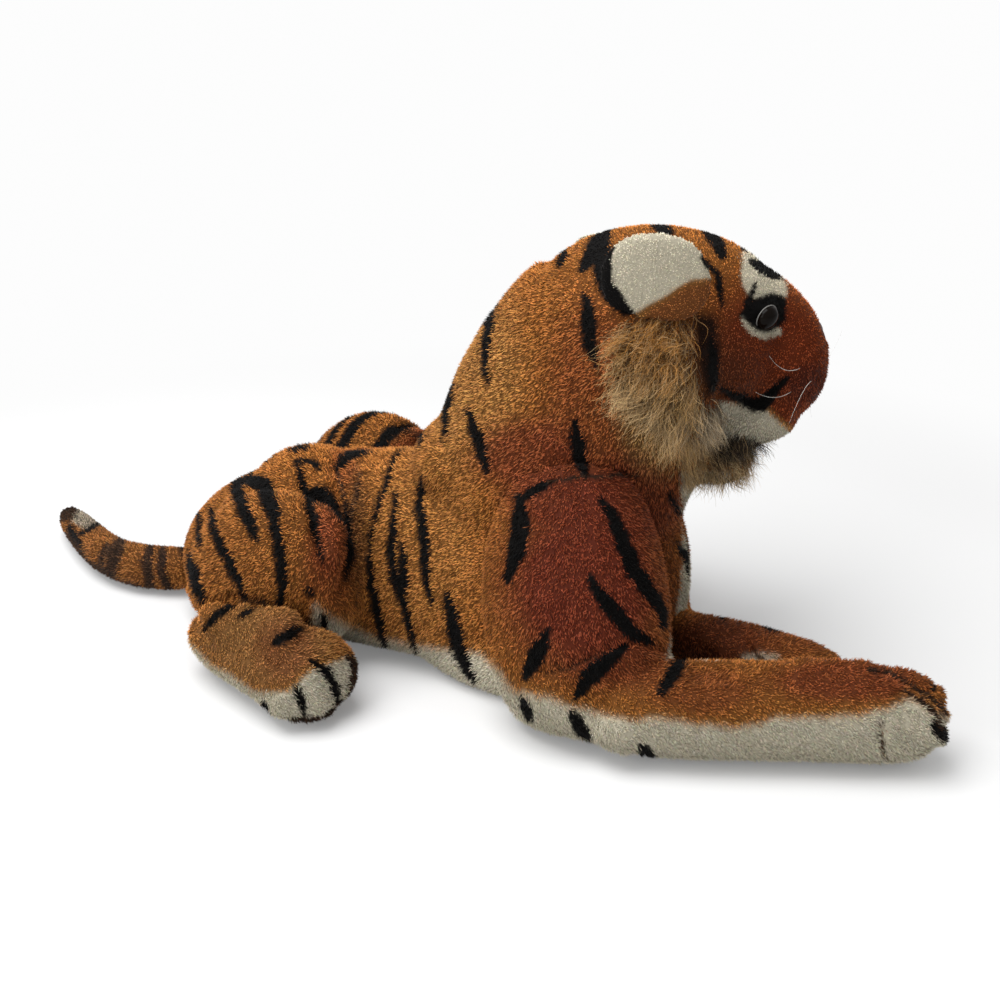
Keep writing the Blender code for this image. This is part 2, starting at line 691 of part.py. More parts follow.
def build_face(tiger, head_form, casing, carrier):
    """Add the muzzle, chin, nose, ruffs and whiskers."""
    front = HEAD_LENGTH - MUZZLE_REACH
    frame = head_form.frame @ Matrix.Translation((front, 0, -MUZZLE_DROP))
    muzzle_size = (MUZZLE_LENGTH, MUZZLE_WIDTH, MUZZLE_HEIGHT)
    muzzle_form = shape_form("muzzle", MUZZLE_SHARES, muzzle_size, frame)
    muzzle = tiger.stuffed("muzzle", muzzle_form, "rust_plush", carrier)
    head_gap = tiger.form_cutter("head_for_muzzle", head_form, SEAM_GAP)
    below = below_head(tiger)
    cut(muzzle, head_gap)
    chin_frame = head_form.frame @ Matrix.Translation((HEAD_LENGTH - CHIN_LENGTH + CHIN_REACH, 0, -CHIN_DROP))
    chin_size = (CHIN_LENGTH, CHIN_WIDTH, CHIN_HEIGHT)
    chin_form = shape_form("chin", CHIN_SHARES, chin_size, chin_frame, sides=SMALL_CAGE_SIDES)
    chin = tiger.stuffed("chin", chin_form, "cream_plush", carrier)
    cut(chin, head_gap, tiger.form_cutter("muzzle_for_chin", muzzle_form, SEAM_GAP), below)
    for side_name, side in SIDES:
        place = head_form.frame @ Matrix.Translation(
            (
                RUFF_ALONG_SHARE * HEAD_LENGTH,
                side * RUFF_OUT_SHARE * HEAD_WIDTH,
                -RUFF_DROP_SHARE * HEAD_HEIGHT,
            )
        )
        size = (RUFF_LENGTH, RUFF_THICKNESS, RUFF_HEIGHT)
        ruff_form = shape_form(f"ruff_{side_name}", RUFF_SHARES, size, place, side, SMALL_CAGE_SIDES)
        ruff = tiger.stuffed(f"cheek_ruff_{side_name}", ruff_form, "ruff_plush", carrier)
        cut(ruff, head_gap, tiger.form_cutter(f"chin_for_ruff_{side_name}", chin_form, SEAM_GAP), below)
    for side_name, side in SIDES:
        for number, row in enumerate(WHISKER_SHARES[side_name]):
            build_whisker(tiger, f"whisker_{side_name}_{number + 1}", side, row, muzzle_form, muzzle, carrier)
    build_nose(tiger, head_form, muzzle, carrier)


def build_nose(tiger, head_form, muzzle, carrier):
    """Add the nose, sunk in a seat at the muzzle's tip."""
    inside = head_form.frame @ Vector((HEAD_LENGTH, 0, NOSE_RISE_SHARE * MUZZLE_HEIGHT - MUZZLE_DROP))
    forward = head_form.frame.to_3x3() @ FORWARD
    tip, _ = seat_on(muzzle, inside, forward)
    frame = Matrix.Translation(tip - forward * (NOSE_SINK_SHARE * NOSE_DEPTH)) @ Matrix.Rotation(HEAD_TURN, 4, "Z")
    ball = bmesh.new()
    bmesh.ops.create_uvsphere(ball, u_segments=NOSE_SIDES, v_segments=NOSE_SIDES // 2, radius=1)
    bmesh.ops.scale(ball, verts=ball.verts, vec=(NOSE_DEPTH / 2, NOSE_WIDTH / 2, NOSE_HEIGHT / 2))
    mesh = bpy.data.meshes.new("nose")
    ball.to_mesh(mesh)
    ball.free()
    mesh.shade_smooth()
    seat = tiger.cutter("nose_seat", mesh.copy(), frame)
    swell_by(seat, FIT_GAP)
    cut(muzzle, seat)
    mesh.materials.append(finish("nose_plastic"))
    tiger.place(bpy.data.objects.new("nose", mesh), frame, carrier)


def build_whisker(tiger, name, side, row, muzzle_form, muzzle, carrier):
    """Add one whisker: a thread out of the muzzle's side that sweeps back and bends down."""
    along, rise, back, droop = row
    inside = muzzle_form.frame @ Vector((along * MUZZLE_LENGTH, 0, rise * MUZZLE_HEIGHT))
    out = muzzle_form.frame.to_3x3() @ Vector((0, side, 0))
    rear = muzzle_form.frame.to_3x3() @ -FORWARD
    sweep = (out + rear * back).normalized()
    root, _ = seat_on(muzzle, inside, out)
    curve = bpy.data.curves.new(name, "CURVE")
    curve.dimensions = "3D"
    curve.bevel_depth = WHISKER_RADIUS
    curve.bevel_resolution = WHISKER_BEVEL_STEPS
    curve.use_fill_caps = True
    spline = curve.splines.new("POLY")
    spline.points.add(WHISKER_POINTS - 1)
    for number, point in enumerate(spline.points):
        share = number / (WHISKER_POINTS - 1)
        reach = WHISKER_LENGTH * share
        point.co = (*(root - out * CLOTH_WALL + sweep * reach - UP * (droop * reach * share)), 1)
    thread = bpy.data.objects.new(name + "_curve", curve)
    tiger.parts.objects.link(thread)
    graph = bpy.context.evaluated_depsgraph_get()
    mesh = bpy.data.meshes.new_from_object(thread.evaluated_get(graph))
    bpy.data.objects.remove(thread)
    weld = bmesh.new()
    weld.from_mesh(mesh)
    bmesh.ops.remove_doubles(weld, verts=weld.verts, dist=WELD_DISTANCE)
    weld.to_mesh(mesh)
    weld.free()
    mesh.materials.append(finish("whisker_nylon"))
    whisker = tiger.place(bpy.data.objects.new(name, mesh), Matrix(), carrier)
    cut(whisker, tiger.form_cutter("muzzle_for_" + name, muzzle_form, FIT_GAP))


def build_foreleg(tiger, side_name, side, floor, torso, neck_form):
    """Add one upper arm, and the forearm that swings at its elbow."""
    x = from_rear(SHOULDER_ALONG_SHARES[side_name])
    arm_size = (UPPER_ARM_LENGTH, UPPER_ARM_WIDTH, UPPER_ARM_DEPTH)
    arm_frame = standing(x, side * SHOULDER_OUT, 0, 0)
    arm_name = f"upper_arm_{side_name}"
    arm_form = shape_form(arm_name, UPPER_ARM_SHARES, arm_size, arm_frame, side, on_floor=True)
    arm = tiger.stuffed(arm_name, arm_form, "rust_plush")
    torso_gap = tiger.form_cutter("torso_for_" + arm_name, torso, SEAM_GAP)
    neck_gap = tiger.form_cutter("neck_for_" + arm_name, neck_form, SEAM_GAP)
    cut(arm, torso_gap, neck_gap, floor)
    forward, outward = ELBOW_SHARES[side_name]
    elbow_out = SHOULDER_OUT + outward * UPPER_ARM_WIDTH
    elbow = Vector((x + forward * UPPER_ARM_DEPTH, side * elbow_out, 0))
    size = (FOREARM_LENGTHS[side_name], FOREARM_WIDTH, FOREARM_HEIGHT)
    frame = lying(elbow.x, elbow.y, 0, FOREARM_HEADINGS[side_name])
    name = f"forearm_{side_name}"
    form = shape_form(name, FOREARM_SHARES[side_name], size, frame, side, on_floor=True)
    limits = (-FORELEG_OUT, FORELEG_IN) if side == RIGHT else (-FORELEG_IN, FORELEG_OUT)
    carrier = tiger.pivot(f"foreleg_{side_name}_swing", elbow, UP, limits)
    forearm = tiger.stuffed(name, form, "rust_plush", carrier)
    neighbours = {"arm": arm_form, "torso": torso, "neck": neck_form}
    swing_clearance(tiger, forearm, neighbours, elbow, UP, limits)
    cut(forearm, floor)


def build_hind_leg(tiger, side_name, side, floor, torso):
    """Add one haunch, and the foot that swings under it."""
    haunch_name = f"haunch_{side_name}"
    haunch_size = (HAUNCH_LENGTH, HAUNCH_WIDTH, HAUNCH_HEIGHT)
    haunch_frame = lying(from_rear(HAUNCH_ALONG_SHARE) - HAUNCH_LENGTH / 2, side * HAUNCH_OUT, 0, 0)
    haunch_form = shape_form(haunch_name, HAUNCH_SHARES, haunch_size, haunch_frame, side)
    haunch = tiger.stuffed(haunch_name, haunch_form, "tan_plush")
    cut(haunch, tiger.form_cutter("torso_for_" + haunch_name, torso, SEAM_GAP), floor)
    name = f"hind_foot_{side_name}"
    size = (FOOT_LENGTH, FOOT_WIDTH, FOOT_HEIGHT)
    frame = lying(from_rear(FOOT_ALONG_SHARE), side * FOOT_OUT, 0, side * FOOT_TURN)
    form = shape_form(name, FOOT_SHARES, size, frame, side, on_floor=True)
    ankle = frame @ Vector((FOOT_PIVOT_SHARE * FOOT_LENGTH, 0, 0))
    limits = (-FOOT_SWING, FOOT_SWING)
    carrier = tiger.pivot(f"foot_{side_name}_swing", ankle, UP, limits)
    foot = tiger.stuffed(name, form, "tan_plush", carrier)
    swing_clearance(tiger, foot, {"haunch": haunch_form, "torso": torso}, ankle, UP, limits)
    cut(foot, floor)


def build_tail(tiger, floor, torso):
    """Add the tail, which lies behind the rump and swings at its root."""
    root = Vector((from_rear(0) + TAIL_SINK, 0, 0))
    limits = (-TAIL_SWING, TAIL_SWING)
    carrier = tiger.pivot("tail_swing", root, UP, limits)
    frame = lying(root.x, root.y, 0, math.pi)
    size = (TAIL_LENGTH, TAIL_WIDTH, TAIL_HEIGHT)
    form = shape_form("tail", TAIL_SHARES, size, frame, sides=SMALL_CAGE_SIDES, on_floor=True)
    tail = tiger.stuffed("tail", form, "tan_plush", carrier)
    swing_clearance(tiger, tail, {"torso": torso}, root, UP, limits)
    cut(tail, floor)


def main():
    """Build the toy."""
    clear_scene()
    tiger = Tiger()
    reach = TORSO_LENGTH + TAIL_LENGTH + HEAD_LENGTH
    floor = tiger.box_cutter("floor", Matrix(), (-reach, -reach, -OVERRUN), (reach, reach, 0))
    torso = build_torso(tiger, floor)
    neck_form = build_neck(tiger, torso)
    head_form, casing, fill, carrier = build_head(tiger)
    for side_name, side in SIDES:
        build_ear(tiger, side_name, side, head_form, casing, carrier)
    build_face(tiger, head_form, casing, carrier)
    for side_name, side in SIDES:
        build_eye(tiger, side_name, side, head_form, casing, fill, carrier)
        build_foreleg(tiger, side_name, side, floor, torso, neck_form)
        build_hind_leg(tiger, side_name, side, floor, torso)
    build_tail(tiger, floor, torso)
    tiger.centre()


main()
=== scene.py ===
"""A lying plush tiger: stuffed skins and their pile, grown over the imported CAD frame."""

import json
import logging
import math
from dataclasses import dataclass, field
from enum import Enum

import bmesh
import bpy
import numpy as np
from mathutils import Matrix, Vector
from mathutils.bvhtree import BVHTree
from mathutils.kdtree import KDTree

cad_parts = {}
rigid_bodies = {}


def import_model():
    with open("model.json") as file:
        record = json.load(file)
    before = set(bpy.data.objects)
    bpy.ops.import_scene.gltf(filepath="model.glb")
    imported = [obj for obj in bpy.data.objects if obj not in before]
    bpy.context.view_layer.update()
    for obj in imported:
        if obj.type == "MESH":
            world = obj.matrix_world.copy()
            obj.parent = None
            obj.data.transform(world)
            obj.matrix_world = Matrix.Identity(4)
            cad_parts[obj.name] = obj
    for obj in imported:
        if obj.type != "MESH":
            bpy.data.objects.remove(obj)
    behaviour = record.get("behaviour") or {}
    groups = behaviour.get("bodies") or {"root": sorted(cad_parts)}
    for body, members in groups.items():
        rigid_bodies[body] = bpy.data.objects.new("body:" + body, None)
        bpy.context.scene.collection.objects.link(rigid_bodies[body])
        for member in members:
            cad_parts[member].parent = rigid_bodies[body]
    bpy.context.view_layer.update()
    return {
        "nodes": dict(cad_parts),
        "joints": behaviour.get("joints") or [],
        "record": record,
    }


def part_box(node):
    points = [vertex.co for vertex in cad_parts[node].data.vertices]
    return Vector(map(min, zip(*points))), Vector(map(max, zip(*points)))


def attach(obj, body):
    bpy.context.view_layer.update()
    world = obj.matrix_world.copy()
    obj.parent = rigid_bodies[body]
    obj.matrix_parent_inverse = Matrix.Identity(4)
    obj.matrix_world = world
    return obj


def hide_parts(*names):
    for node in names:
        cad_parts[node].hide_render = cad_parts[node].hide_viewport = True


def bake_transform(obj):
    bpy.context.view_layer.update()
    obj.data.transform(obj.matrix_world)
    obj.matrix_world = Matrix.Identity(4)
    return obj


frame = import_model()

logging.basicConfig(level=logging.INFO, format="%(message)s")
LOG = logging.getLogger("tiger")

MM = 0.001
UP = np.array((0.0, 0.0, 1.0))
COAT = "coat"
BAKE_MAP = "OFBake"
RNG_SEED = 20

Line = tuple[tuple[float, float], ...]
Point = tuple[float, float, float]


class Dye(Enum):
    """Colours of the printed plush, and of painted shade and highlights on it, from the photo."""

    TAN = "#B5702F"
    CHESTNUT = "#9A4E26"
    GOLD = "#C08443"
    SAND = "#C79A62"
    RUST = "#8B3B22"
    DEEP_RUST = "#6A2A16"
    FACE = "#96401A"
    CREAM = "#DED5BC"
    DUSTY_CREAM = "#B5AC98"
    BLACK = "#0B0806"
    SMOKE = "#3E2A1C"
    BEIGE = "#BE965C"
    STRAW = "#D2B384"
    UMBER = "#5C3A1E"
    AMBER = "#B87C34"
    # pale tan for painted highlights on the brightest fibre tips
    HIGHLIGHT_TIP = "#C6A080"

    def linear(self) -> np.ndarray:
        """Returns: the dye in linear light."""
        return linear(self.value)


def linear(code: str) -> np.ndarray:
    """Turn an sRGB hex code into linear light.

    Args:
        code: the colour as #RRGGBB.

    Returns:
        Red, green and blue from 0 to 1.
    """
    srgb = np.array([int(code[i : i + 2], 16) / 255 for i in (1, 3, 5)])
    return np.where(srgb <= 0.04045, srgb / 12.92, ((srgb + 0.055) / 1.055) ** 2.4)


def ease(value: np.ndarray) -> np.ndarray:
    """Clamp to 0 to 1 and smooth both ends.

    Args:
        value: any array.

    Returns:
        The eased array.
    """
    held = np.clip(value, 0, 1)
    return held * held * (3 - 2 * held)


def unit(rows: np.ndarray) -> np.ndarray:
    """Scale each row to length one.

    Args:
        rows: vectors, one a row.

    Returns:
        Unit vectors.
    """
    return rows / np.maximum(np.linalg.norm(rows, axis=-1, keepdims=True), 1e-9)


def spin(angle: float) -> np.ndarray:
    """Returns: the matrix that turns a column about Z by an angle in radians."""
    cosine, sine = math.cos(angle), math.sin(angle)
    return np.array(((cosine, -sine, 0), (sine, cosine, 0), (0, 0, 1)))


def paleness(colours: np.ndarray) -> np.ndarray:
    """Tell pale cloth from dark.

    Args:
        colours: linear colours, one a row.

    Returns:
        From 0 for dark to 1 for pale, one a row.
    """
    return ease((colours.mean(axis=1, keepdims=True) - 0.3) / 0.2)


def put(name: str, data: bpy.types.ID) -> bpy.types.Object:
    """Put a mesh, camera or light into the scene.

    Args:
        name: the object's name.
        data: the mesh, camera or light.

    Returns:
        The object.
    """
    obj = bpy.data.objects.new(name, data)
    bpy.context.scene.collection.objects.link(obj)
    return obj


def aim(obj: bpy.types.Object, place: np.ndarray | Point, way: np.ndarray) -> None:
    """Stand a camera or light at a place and point it.

    Args:
        obj: the camera or light.
        place: where it stands.
        way: the direction that it looks in.
    """
    obj.location = place
    obj.rotation_euler = Vector(way).to_track_quat("-Z", "Y").to_euler()


def to_mesh(work: bmesh.types.BMesh, name: str) -> bpy.types.Mesh:
    """Turn a working mesh into a mesh, and free it.

    Args:
        work: the working mesh.
        name: the mesh's name.

    Returns:
        The mesh.
    """
    mesh = bpy.data.meshes.new(name)
    work.to_mesh(mesh)
    work.free()
    return mesh


def nearest_seed(points: np.ndarray, seeds: np.ndarray) -> np.ndarray:
    """Find the seed nearest to each place.

    Args:
        points: the places.
        seeds: which of the places are seeds.

    Returns:
        For each place, its seed's position among the seeds.
    """
    tree = KDTree(len(seeds))
    for number, seed in enumerate(seeds):
        tree.insert(Vector(points[seed]), number)
    tree.balance()
    return np.array([tree.find(Vector(point))[1] for point in points])


@dataclass(frozen=True)
class PhotoCamera:
    """The camera that took the photo."""

    azimuth: float = math.radians(18)
    elevation: float = math.radians(22)
    distance: float = 900 * MM
    target: Point = (47.49 * MM, 0, 100 * MM)
    focal: float = 1350
    middle: float = 500
    sensor: float = 36

    def axes(self) -> tuple[np.ndarray, np.ndarray, np.ndarray, np.ndarray]:
        """Returns: right, up, forward and the camera's place."""
        turn, lift = self.azimuth, self.elevation
        right = np.array((math.cos(turn), math.sin(turn), 0))
        ahead = np.array((-math.sin(turn) * math.cos(lift), math.cos(turn) * math.cos(lift), -math.sin(lift)))
        return right, np.cross(right, ahead), ahead, np.array(self.target) - self.distance * ahead

    def project(self, points: np.ndarray) -> np.ndarray:
        """Find where points show in the photo.

        Args:
            points: places in the row frame.

        Returns:
            Photo pixels, from the top left.
        """
        right, up, ahead, place = self.axes()
        away = points - place
        depth = away @ ahead
        across = self.middle + self.focal * (away @ right) / depth
        down = self.middle - self.focal * (away @ up) / depth
        return np.stack((across, down), axis=-1)

    def build(self) -> None:
        """Add the camera to the scene."""
        data = bpy.data.cameras.new("photo_camera")
        data.sensor_width = self.sensor
        data.lens = self.focal * self.sensor / (2 * self.middle)
        data.clip_start = 10 * MM
        camera = put("photo_camera", data)
        *_, ahead, place = self.axes()
        aim(camera, place, ahead)
        bpy.context.scene.camera = camera


CAMERA = PhotoCamera()


def line_reach(line: Line, spots: np.ndarray) -> tuple[np.ndarray, np.ndarray]:
    """Measure how far spots lie from a line.

    Args:
        line: the line's corners in photo pixels.
        spots: photo pixels, one a row.

    Returns:
        The distances, and how far along the line each nearest place lies, from 0 to 1.
    """
    corners = np.array(line, float)
    lengths = np.linalg.norm(np.diff(corners, axis=0), axis=1)
    starts = np.concatenate(((0,), np.cumsum(lengths)))
    best = np.full(len(spots), np.inf)
    along = np.zeros(len(spots))
    for number, (first, last) in enumerate(zip(corners, corners[1:])):
        run = last - first
        share = np.clip(((spots - first) @ run) / max(run @ run, 1e-9), 0, 1)
        away = np.linalg.norm(spots - first - share[:, None] * run, axis=1)
        closer = away < best
        best[closer] = away[closer]
        along[closer] = (starts[number] + share[closer] * lengths[number]) / starts[-1]
    return best, along


@dataclass(frozen=True)
class Stripe:
    """A stripe of dyed pile along a line in the photo, pointed at its ends; some are thin lines of painted shade
    in creases.
    """

    line: Line
    width: float
    dye: Dye = Dye.BLACK
    blunt: float = 0.35
    soft: float = 1.6
    reach: float = 0.62
    point: float = 0.7

    def cover(self, spots: np.ndarray) -> np.ndarray:
        """Find how strongly the stripe covers spots.

        Args:
            spots: photo pixels.

        Returns:
            Shares from 0 to 1.
        """
        away, along = line_reach(self.line, spots)
        taper = np.sin(np.pi * np.clip(along, 0.02, 0.98)) ** self.point
        half = self.width * self.reach * (self.blunt + (1 - self.blunt) * taper)
        return ease((half + self.soft / 2 - away) / self.soft)


@dataclass(frozen=True)
class Panel:
    """A sewn or printed area with an outline in the photo."""

    outline: Line
    dye: Dye
    soft: float = 4
    strength: float = 1

    def cover(self, spots: np.ndarray) -> np.ndarray:
        """Find how strongly the panel covers spots.

        Args:
            spots: photo pixels.

        Returns:
            Shares from 0 to 1.
        """
        corners = self.outline + self.outline[:1]
        away, _ = line_reach(corners, spots)
        inside = np.zeros(len(spots), bool)
        x, y = spots[:, 0], spots[:, 1]
        for (x0, y0), (x1, y1) in zip(corners, corners[1:]):
            if y0 != y1:
                crossing = x0 + (y - y0) * (x1 - x0) / (y1 - y0)
                inside ^= ((y0 > y) != (y1 > y)) & (x < crossing)
        signed = np.where(inside, away, -away)
        return self.strength * ease(signed / self.soft + 0.5)


@dataclass(frozen=True)
class Wash:
    """A soft round change of colour: mostly print, and in a few places painted shade."""

    centre: tuple[float, float]
    radii: tuple[float, float]
    dye: Dye
    strength: float = 1
    rim: float = 1.3
    fade: float = 0.8

    def cover(self, spots: np.ndarray) -> np.ndarray:
        """Find how strongly the wash covers spots.

        Args:
            spots: photo pixels.

        Returns:
            Shares from 0 to 1.
        """
        away = np.linalg.norm((spots - np.array(self.centre)) / np.array(self.radii), axis=1)
        return self.strength * ease((self.rim - away) / self.fade)


Layer = Stripe | Panel | Wash


@dataclass(frozen=True)
class Coat:
    """The print of one piece, with some painted shade among its layers: a ground colour and what is dyed over it,
    in order.
    """

    ground: Dye
    layers: tuple[Layer, ...]

    def colours(self, spots: np.ndarray) -> np.ndarray:
        """Find the print's colour at spots.

        Args:
            spots: photo pixels.

        Returns:
            Linear colours, one a row.
        """
        result = np.tile(self.ground.linear(), (len(spots), 1))
        for layer in self.layers:
            share = layer.cover(spots)[:, None]
            result = result * (1 - share) + layer.dye.linear() * share
        return result


@dataclass(frozen=True)
class Bend:
    """Cloth across a joint, between a start and an end: pile before the start rides on one body, and pile after
    the end on the other.
    """

    parent: str
    child: str
    start: Point
    end: Point

    def share(self, points: np.ndarray) -> np.ndarray:
        """Find how far points lie through the bend.

        Args:
            points: places in the row frame.

        Returns:
            Less than 0 before the bend, more than 1 after it.
        """
        run = np.array(self.end) - np.array(self.start)
        return (points - np.array(self.start)) @ run / (run @ run)

    def tie(self, obj: bpy.types.Object) -> None:
        """Bake a piece's place into its mesh; this ties it to neither body.

        Args:
            obj: the piece.
        """
        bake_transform(obj)


class Mirror(Enum):
    """Which part of a skin takes its print from the mirrored photo."""

    NONE = "none"
    WHOLE = "whole"
    BEFORE_BEND = "before the bend"


@dataclass(frozen=True)
class HeadTurn:
    """Where the head sits on the neck: its joint, and its own mid-plane."""

    pivot: Point = (140.16 * MM, 0, 206 * MM)
    axis: Point = (0.64279, 0, 0.76604)
    heading: float = math.radians(20)
    band: float = 20 * MM
    slack_below: float = 38 * MM
    slack_above: float = 2 * MM

    def bend(self) -> "Bend":
        """Returns: how the cloth bends between neck and head, clear of the head's filling."""
        pivot, axis = np.array(self.pivot), np.array(self.axis)
        start, end = pivot - axis * self.slack_below, pivot + axis * self.slack_above
        return Bend("body", "head", tuple(start), tuple(end))

    def above(self, points: np.ndarray) -> np.ndarray:
        """Measure how far points lie above the plane between neck and head.

        Args:
            points: places in the row frame.

        Returns:
            Heights over the plane, in metres.
        """
        return (points - np.array(self.pivot)) @ np.array(self.axis)

    def local(self, points: np.ndarray, back: bool = False) -> np.ndarray:
        """Turn points about the neck so that the head looks along X, or back again.

        Args:
            points: places in the row frame, or the head's own with back.
            back: True turns them into the row frame.

        Returns:
            The turned points.
        """
        return (points - self.foot()) @ spin(self.heading if back else -self.heading).T + self.foot()

    def foot(self) -> np.ndarray:
        """Returns: the place on the floor under the joint."""
        return np.array((*self.pivot[:2], 0))

    def turned(self, vectors: np.ndarray) -> np.ndarray:
        """Returns: vectors of the head's own, turned into the row frame."""
        return self.local(vectors + self.foot(), back=True) - self.foot()

    def direction(self, vector: Point) -> np.ndarray:
        """Turn a direction of the head's own into the row frame.

        Args:
            vector: forward, left and up of the head.

        Returns:
            The unit direction.
        """
        return unit(self.turned(np.array(vector)))

    def near_side(self, points: np.ndarray) -> np.ndarray:
        """Mirror the far half of the toy onto the half that the photo shows.

        Args:
            points: places in the row frame.

        Returns:
            Places on the near half.
        """
        flip = np.array((1.0, -1.0, 1.0))
        body = np.where(points[:, 1:2] > 0, points * flip, points)
        own = self.local(points)
        own = np.where(own[:, 1:2] > 0, own * flip, own)
        head = self.local(own, back=True)
        share = ease(self.above(points) / (2 * self.band) + 0.5)
        share *= ease((self.local(points)[:, 0] - self.pivot[0]) / self.band + 0.5)
        return body * (1 - share[:, None]) + head * share[:, None]


HEAD = HeadTurn()


def add_node(tree: bpy.types.NodeTree, kind: str, inputs: dict | None = None, **settings) -> bpy.types.Node:
    """Add a shader node.

    Args:
        tree: the material's nodes.
        kind: the node's type.
        inputs: a value, or a socket to link from, by input name.
        settings: the node's own properties.

    Returns:
        The node.
    """
    node = tree.nodes.new(kind)
    for name, value in settings.items():
        setattr(node, name, value)
    for name, value in (inputs or {}).items():
        if isinstance(value, bpy.types.NodeSocket):
            tree.links.new(value, node.inputs[name])
        else:
            node.inputs[name].default_value = value
    return node


def fresh_nodes(owner: bpy.types.Material | bpy.types.World) -> bpy.types.NodeTree:
    """Give a material or the world an empty node tree.

    Args:
        owner: the material or world.

    Returns:
        Its node tree.
    """
    owner.use_nodes = True
    owner.node_tree.nodes.clear()
    return owner.node_tree


def stretch(
    tree: bpy.types.NodeTree,
    value: bpy.types.NodeSocket,
    source: tuple[float, float] = (0, 1),
    result: tuple[float, float] = (0, 1),
    **settings,
) -> bpy.types.NodeSocket:
    """Map one range of a value onto another.

    Args:
        tree: the material's nodes.
        value: the value.
        source: the range to read.
        result: the range to give.
        settings: the node's own properties.

    Returns:
        The mapped value.
    """
    ends = dict(zip(("From Min", "From Max", "To Min", "To Max"), (*source, *result)))
    return add_node(tree, "ShaderNodeMapRange", {"Value": value, **ends}, **settings).outputs["Result"]


def surface(name: str, tree: bpy.types.NodeTree, inputs: dict) -> None:
    """Finish a material with one principled shader.

    Args:
        name: the shader's label.
        tree: the material's nodes.
        inputs: the shader's values and sockets by name.
    """
    shader = add_node(tree, "ShaderNodeBsdfPrincipled", inputs, label=name)
    add_node(tree, "ShaderNodeOutputMaterial", {"Surface": shader.outputs["BSDF"]})


@dataclass(frozen=True)
class Plush:
    """Dyed polyester plush: short fibres scatter light at every angle, so it is matte with a pale rim."""

    name: str
    roughness: float = 0.7
    sheen: float = 0.015
    sheen_roughness: float = 0.4
    specular: float = 0.06
    fibre: float = 1.4 * MM

    def build(self) -> bpy.types.Material:
        """Returns: the material, which reads the print from the coat attribute."""
        material = bpy.data.materials.new(self.name)
        tree = fresh_nodes(material)
        place = add_node(tree, "ShaderNodeTexCoord").outputs["Object"]
        noise = {"Vector": place, "Scale": 1 / self.fibre, "Detail": 2.0, "Roughness": 0.6}
        grain = add_node(tree, "ShaderNodeTexNoise", noise).outputs["Fac"]
        print_colour = add_node(tree, "ShaderNodeAttribute", attribute_name=COAT).outputs["Color"]
        tone = stretch(tree, grain, (0.3, 0.7), (0.82, 1.14))
        shade = add_node(tree, "ShaderNodeHueSaturation", {"Color": print_colour, "Value": tone})
        fibres = {"Height": grain, "Strength": 0.5, "Distance": self.fibre / 3}
        inputs = {
            "Base Color": shade.outputs["Color"],
            "Roughness": self.roughness,
            "Sheen Weight": self.sheen,
            "Sheen Roughness": self.sheen_roughness,
            "Specular IOR Level": self.specular,
            "Normal": add_node(tree, "ShaderNodeBump", fibres).outputs["Normal"],
        }
        surface(self.name, tree, inputs)
        return material


@dataclass(frozen=True)
class Moulded:
    """Moulded plastic or drawn nylon: smooth, with a fine unevenness that breaks up its highlights."""

    name: str
    colour: str
    roughness: float
    wave: float
    specular: float = 0.35
    height: float = 0.02 * MM

    def build(self) -> bpy.types.Material:
        """Returns: the material."""
        material = bpy.data.materials.new(self.name)
        tree = fresh_nodes(material)
        place = add_node(tree, "ShaderNodeTexCoord").outputs["Object"]
        noise = {"Vector": place, "Scale": 1 / self.wave, "Detail": 3.0}
        wave = add_node(tree, "ShaderNodeTexNoise", noise).outputs["Fac"]
        tone = stretch(tree, wave, result=(0.85, 1.15))
        tint = add_node(tree, "ShaderNodeHueSaturation", {"Color": (*linear(self.colour), 1), "Value": tone})
        dents = {"Height": wave, "Strength": 0.3, "Distance": self.height}
        inputs = {
            "Base Color": tint.outputs["Color"],
            "Roughness": stretch(tree, wave, result=(self.roughness * 0.8, self.roughness * 1.25)),
            "Specular IOR Level": self.specular,
            "Normal": add_node(tree, "ShaderNodeBump", dents).outputs["Normal"],
        }
        surface(self.name, tree, inputs)
        return material


FINISHES = {
    "tan_plush": Plush("tan_plush"),
    "rust_plush": Plush("rust_plush"),
    "cream_plush": Plush("cream_plush", sheen=0.05),
    "ruff_plush": Plush("ruff_plush", roughness=0.55, specular=0.25),
    "eye_plastic": Moulded("eye_plastic", "#0B0705", 0.1, 4 * MM, specular=0.05),
    "washer_plastic": Moulded("washer_plastic", "#5C5A56", 0.45, 2 * MM),
    "nose_plastic": Moulded("nose_plastic", "#3A170F", 0.4, 0.8 * MM, height=0.2 * MM),
    "whisker_nylon": Moulded("whisker_nylon", "#D8D6CE", 0.25, 1 * MM),
    "polyester_fill": Moulded("polyester_fill", "#E9E8E4", 0.9, 1.5 * MM, height=0.6 * MM),
}


class Materials:
    """The materials in the scene, made once each."""

    def __init__(self) -> None:
        """Start empty."""
        self.made: dict[str, bpy.types.Material] = {}

    def get(self, slot: str) -> bpy.types.Material:
        """Find or make a slot's material.

        Args:
            slot: the record's material slot.

        Returns:
            The material.
        """
        if slot not in self.made:
            self.made[slot] = FINISHES[slot].build()
        return self.made[slot]


MATERIALS = Materials()


def add_object(name: str, mesh: bpy.types.Mesh, slot: str) -> bpy.types.Object:
    """Add a mesh to the scene in a slot's finish.

    Args:
        name: the piece's name.
        mesh: its mesh, in the row frame.
        slot: the record's material slot.

    Returns:
        The object.
    """
    obj = put(name, mesh)
    mesh.materials.clear()
    mesh.materials.append(MATERIALS.get(slot))
    LOG.info("%s: %d faces", name, len(mesh.polygons))
    return obj


def read_points(mesh: bpy.types.Mesh, what: str = "co") -> np.ndarray:
    """Read a mesh's vertices.

    Args:
        mesh: the mesh.
        what: co or normal.

    Returns:
        One row a vertex.
    """
    values = np.empty(len(mesh.vertices) * 3)
    mesh.vertices.foreach_get(what, values)
    return values.reshape(-1, 3)


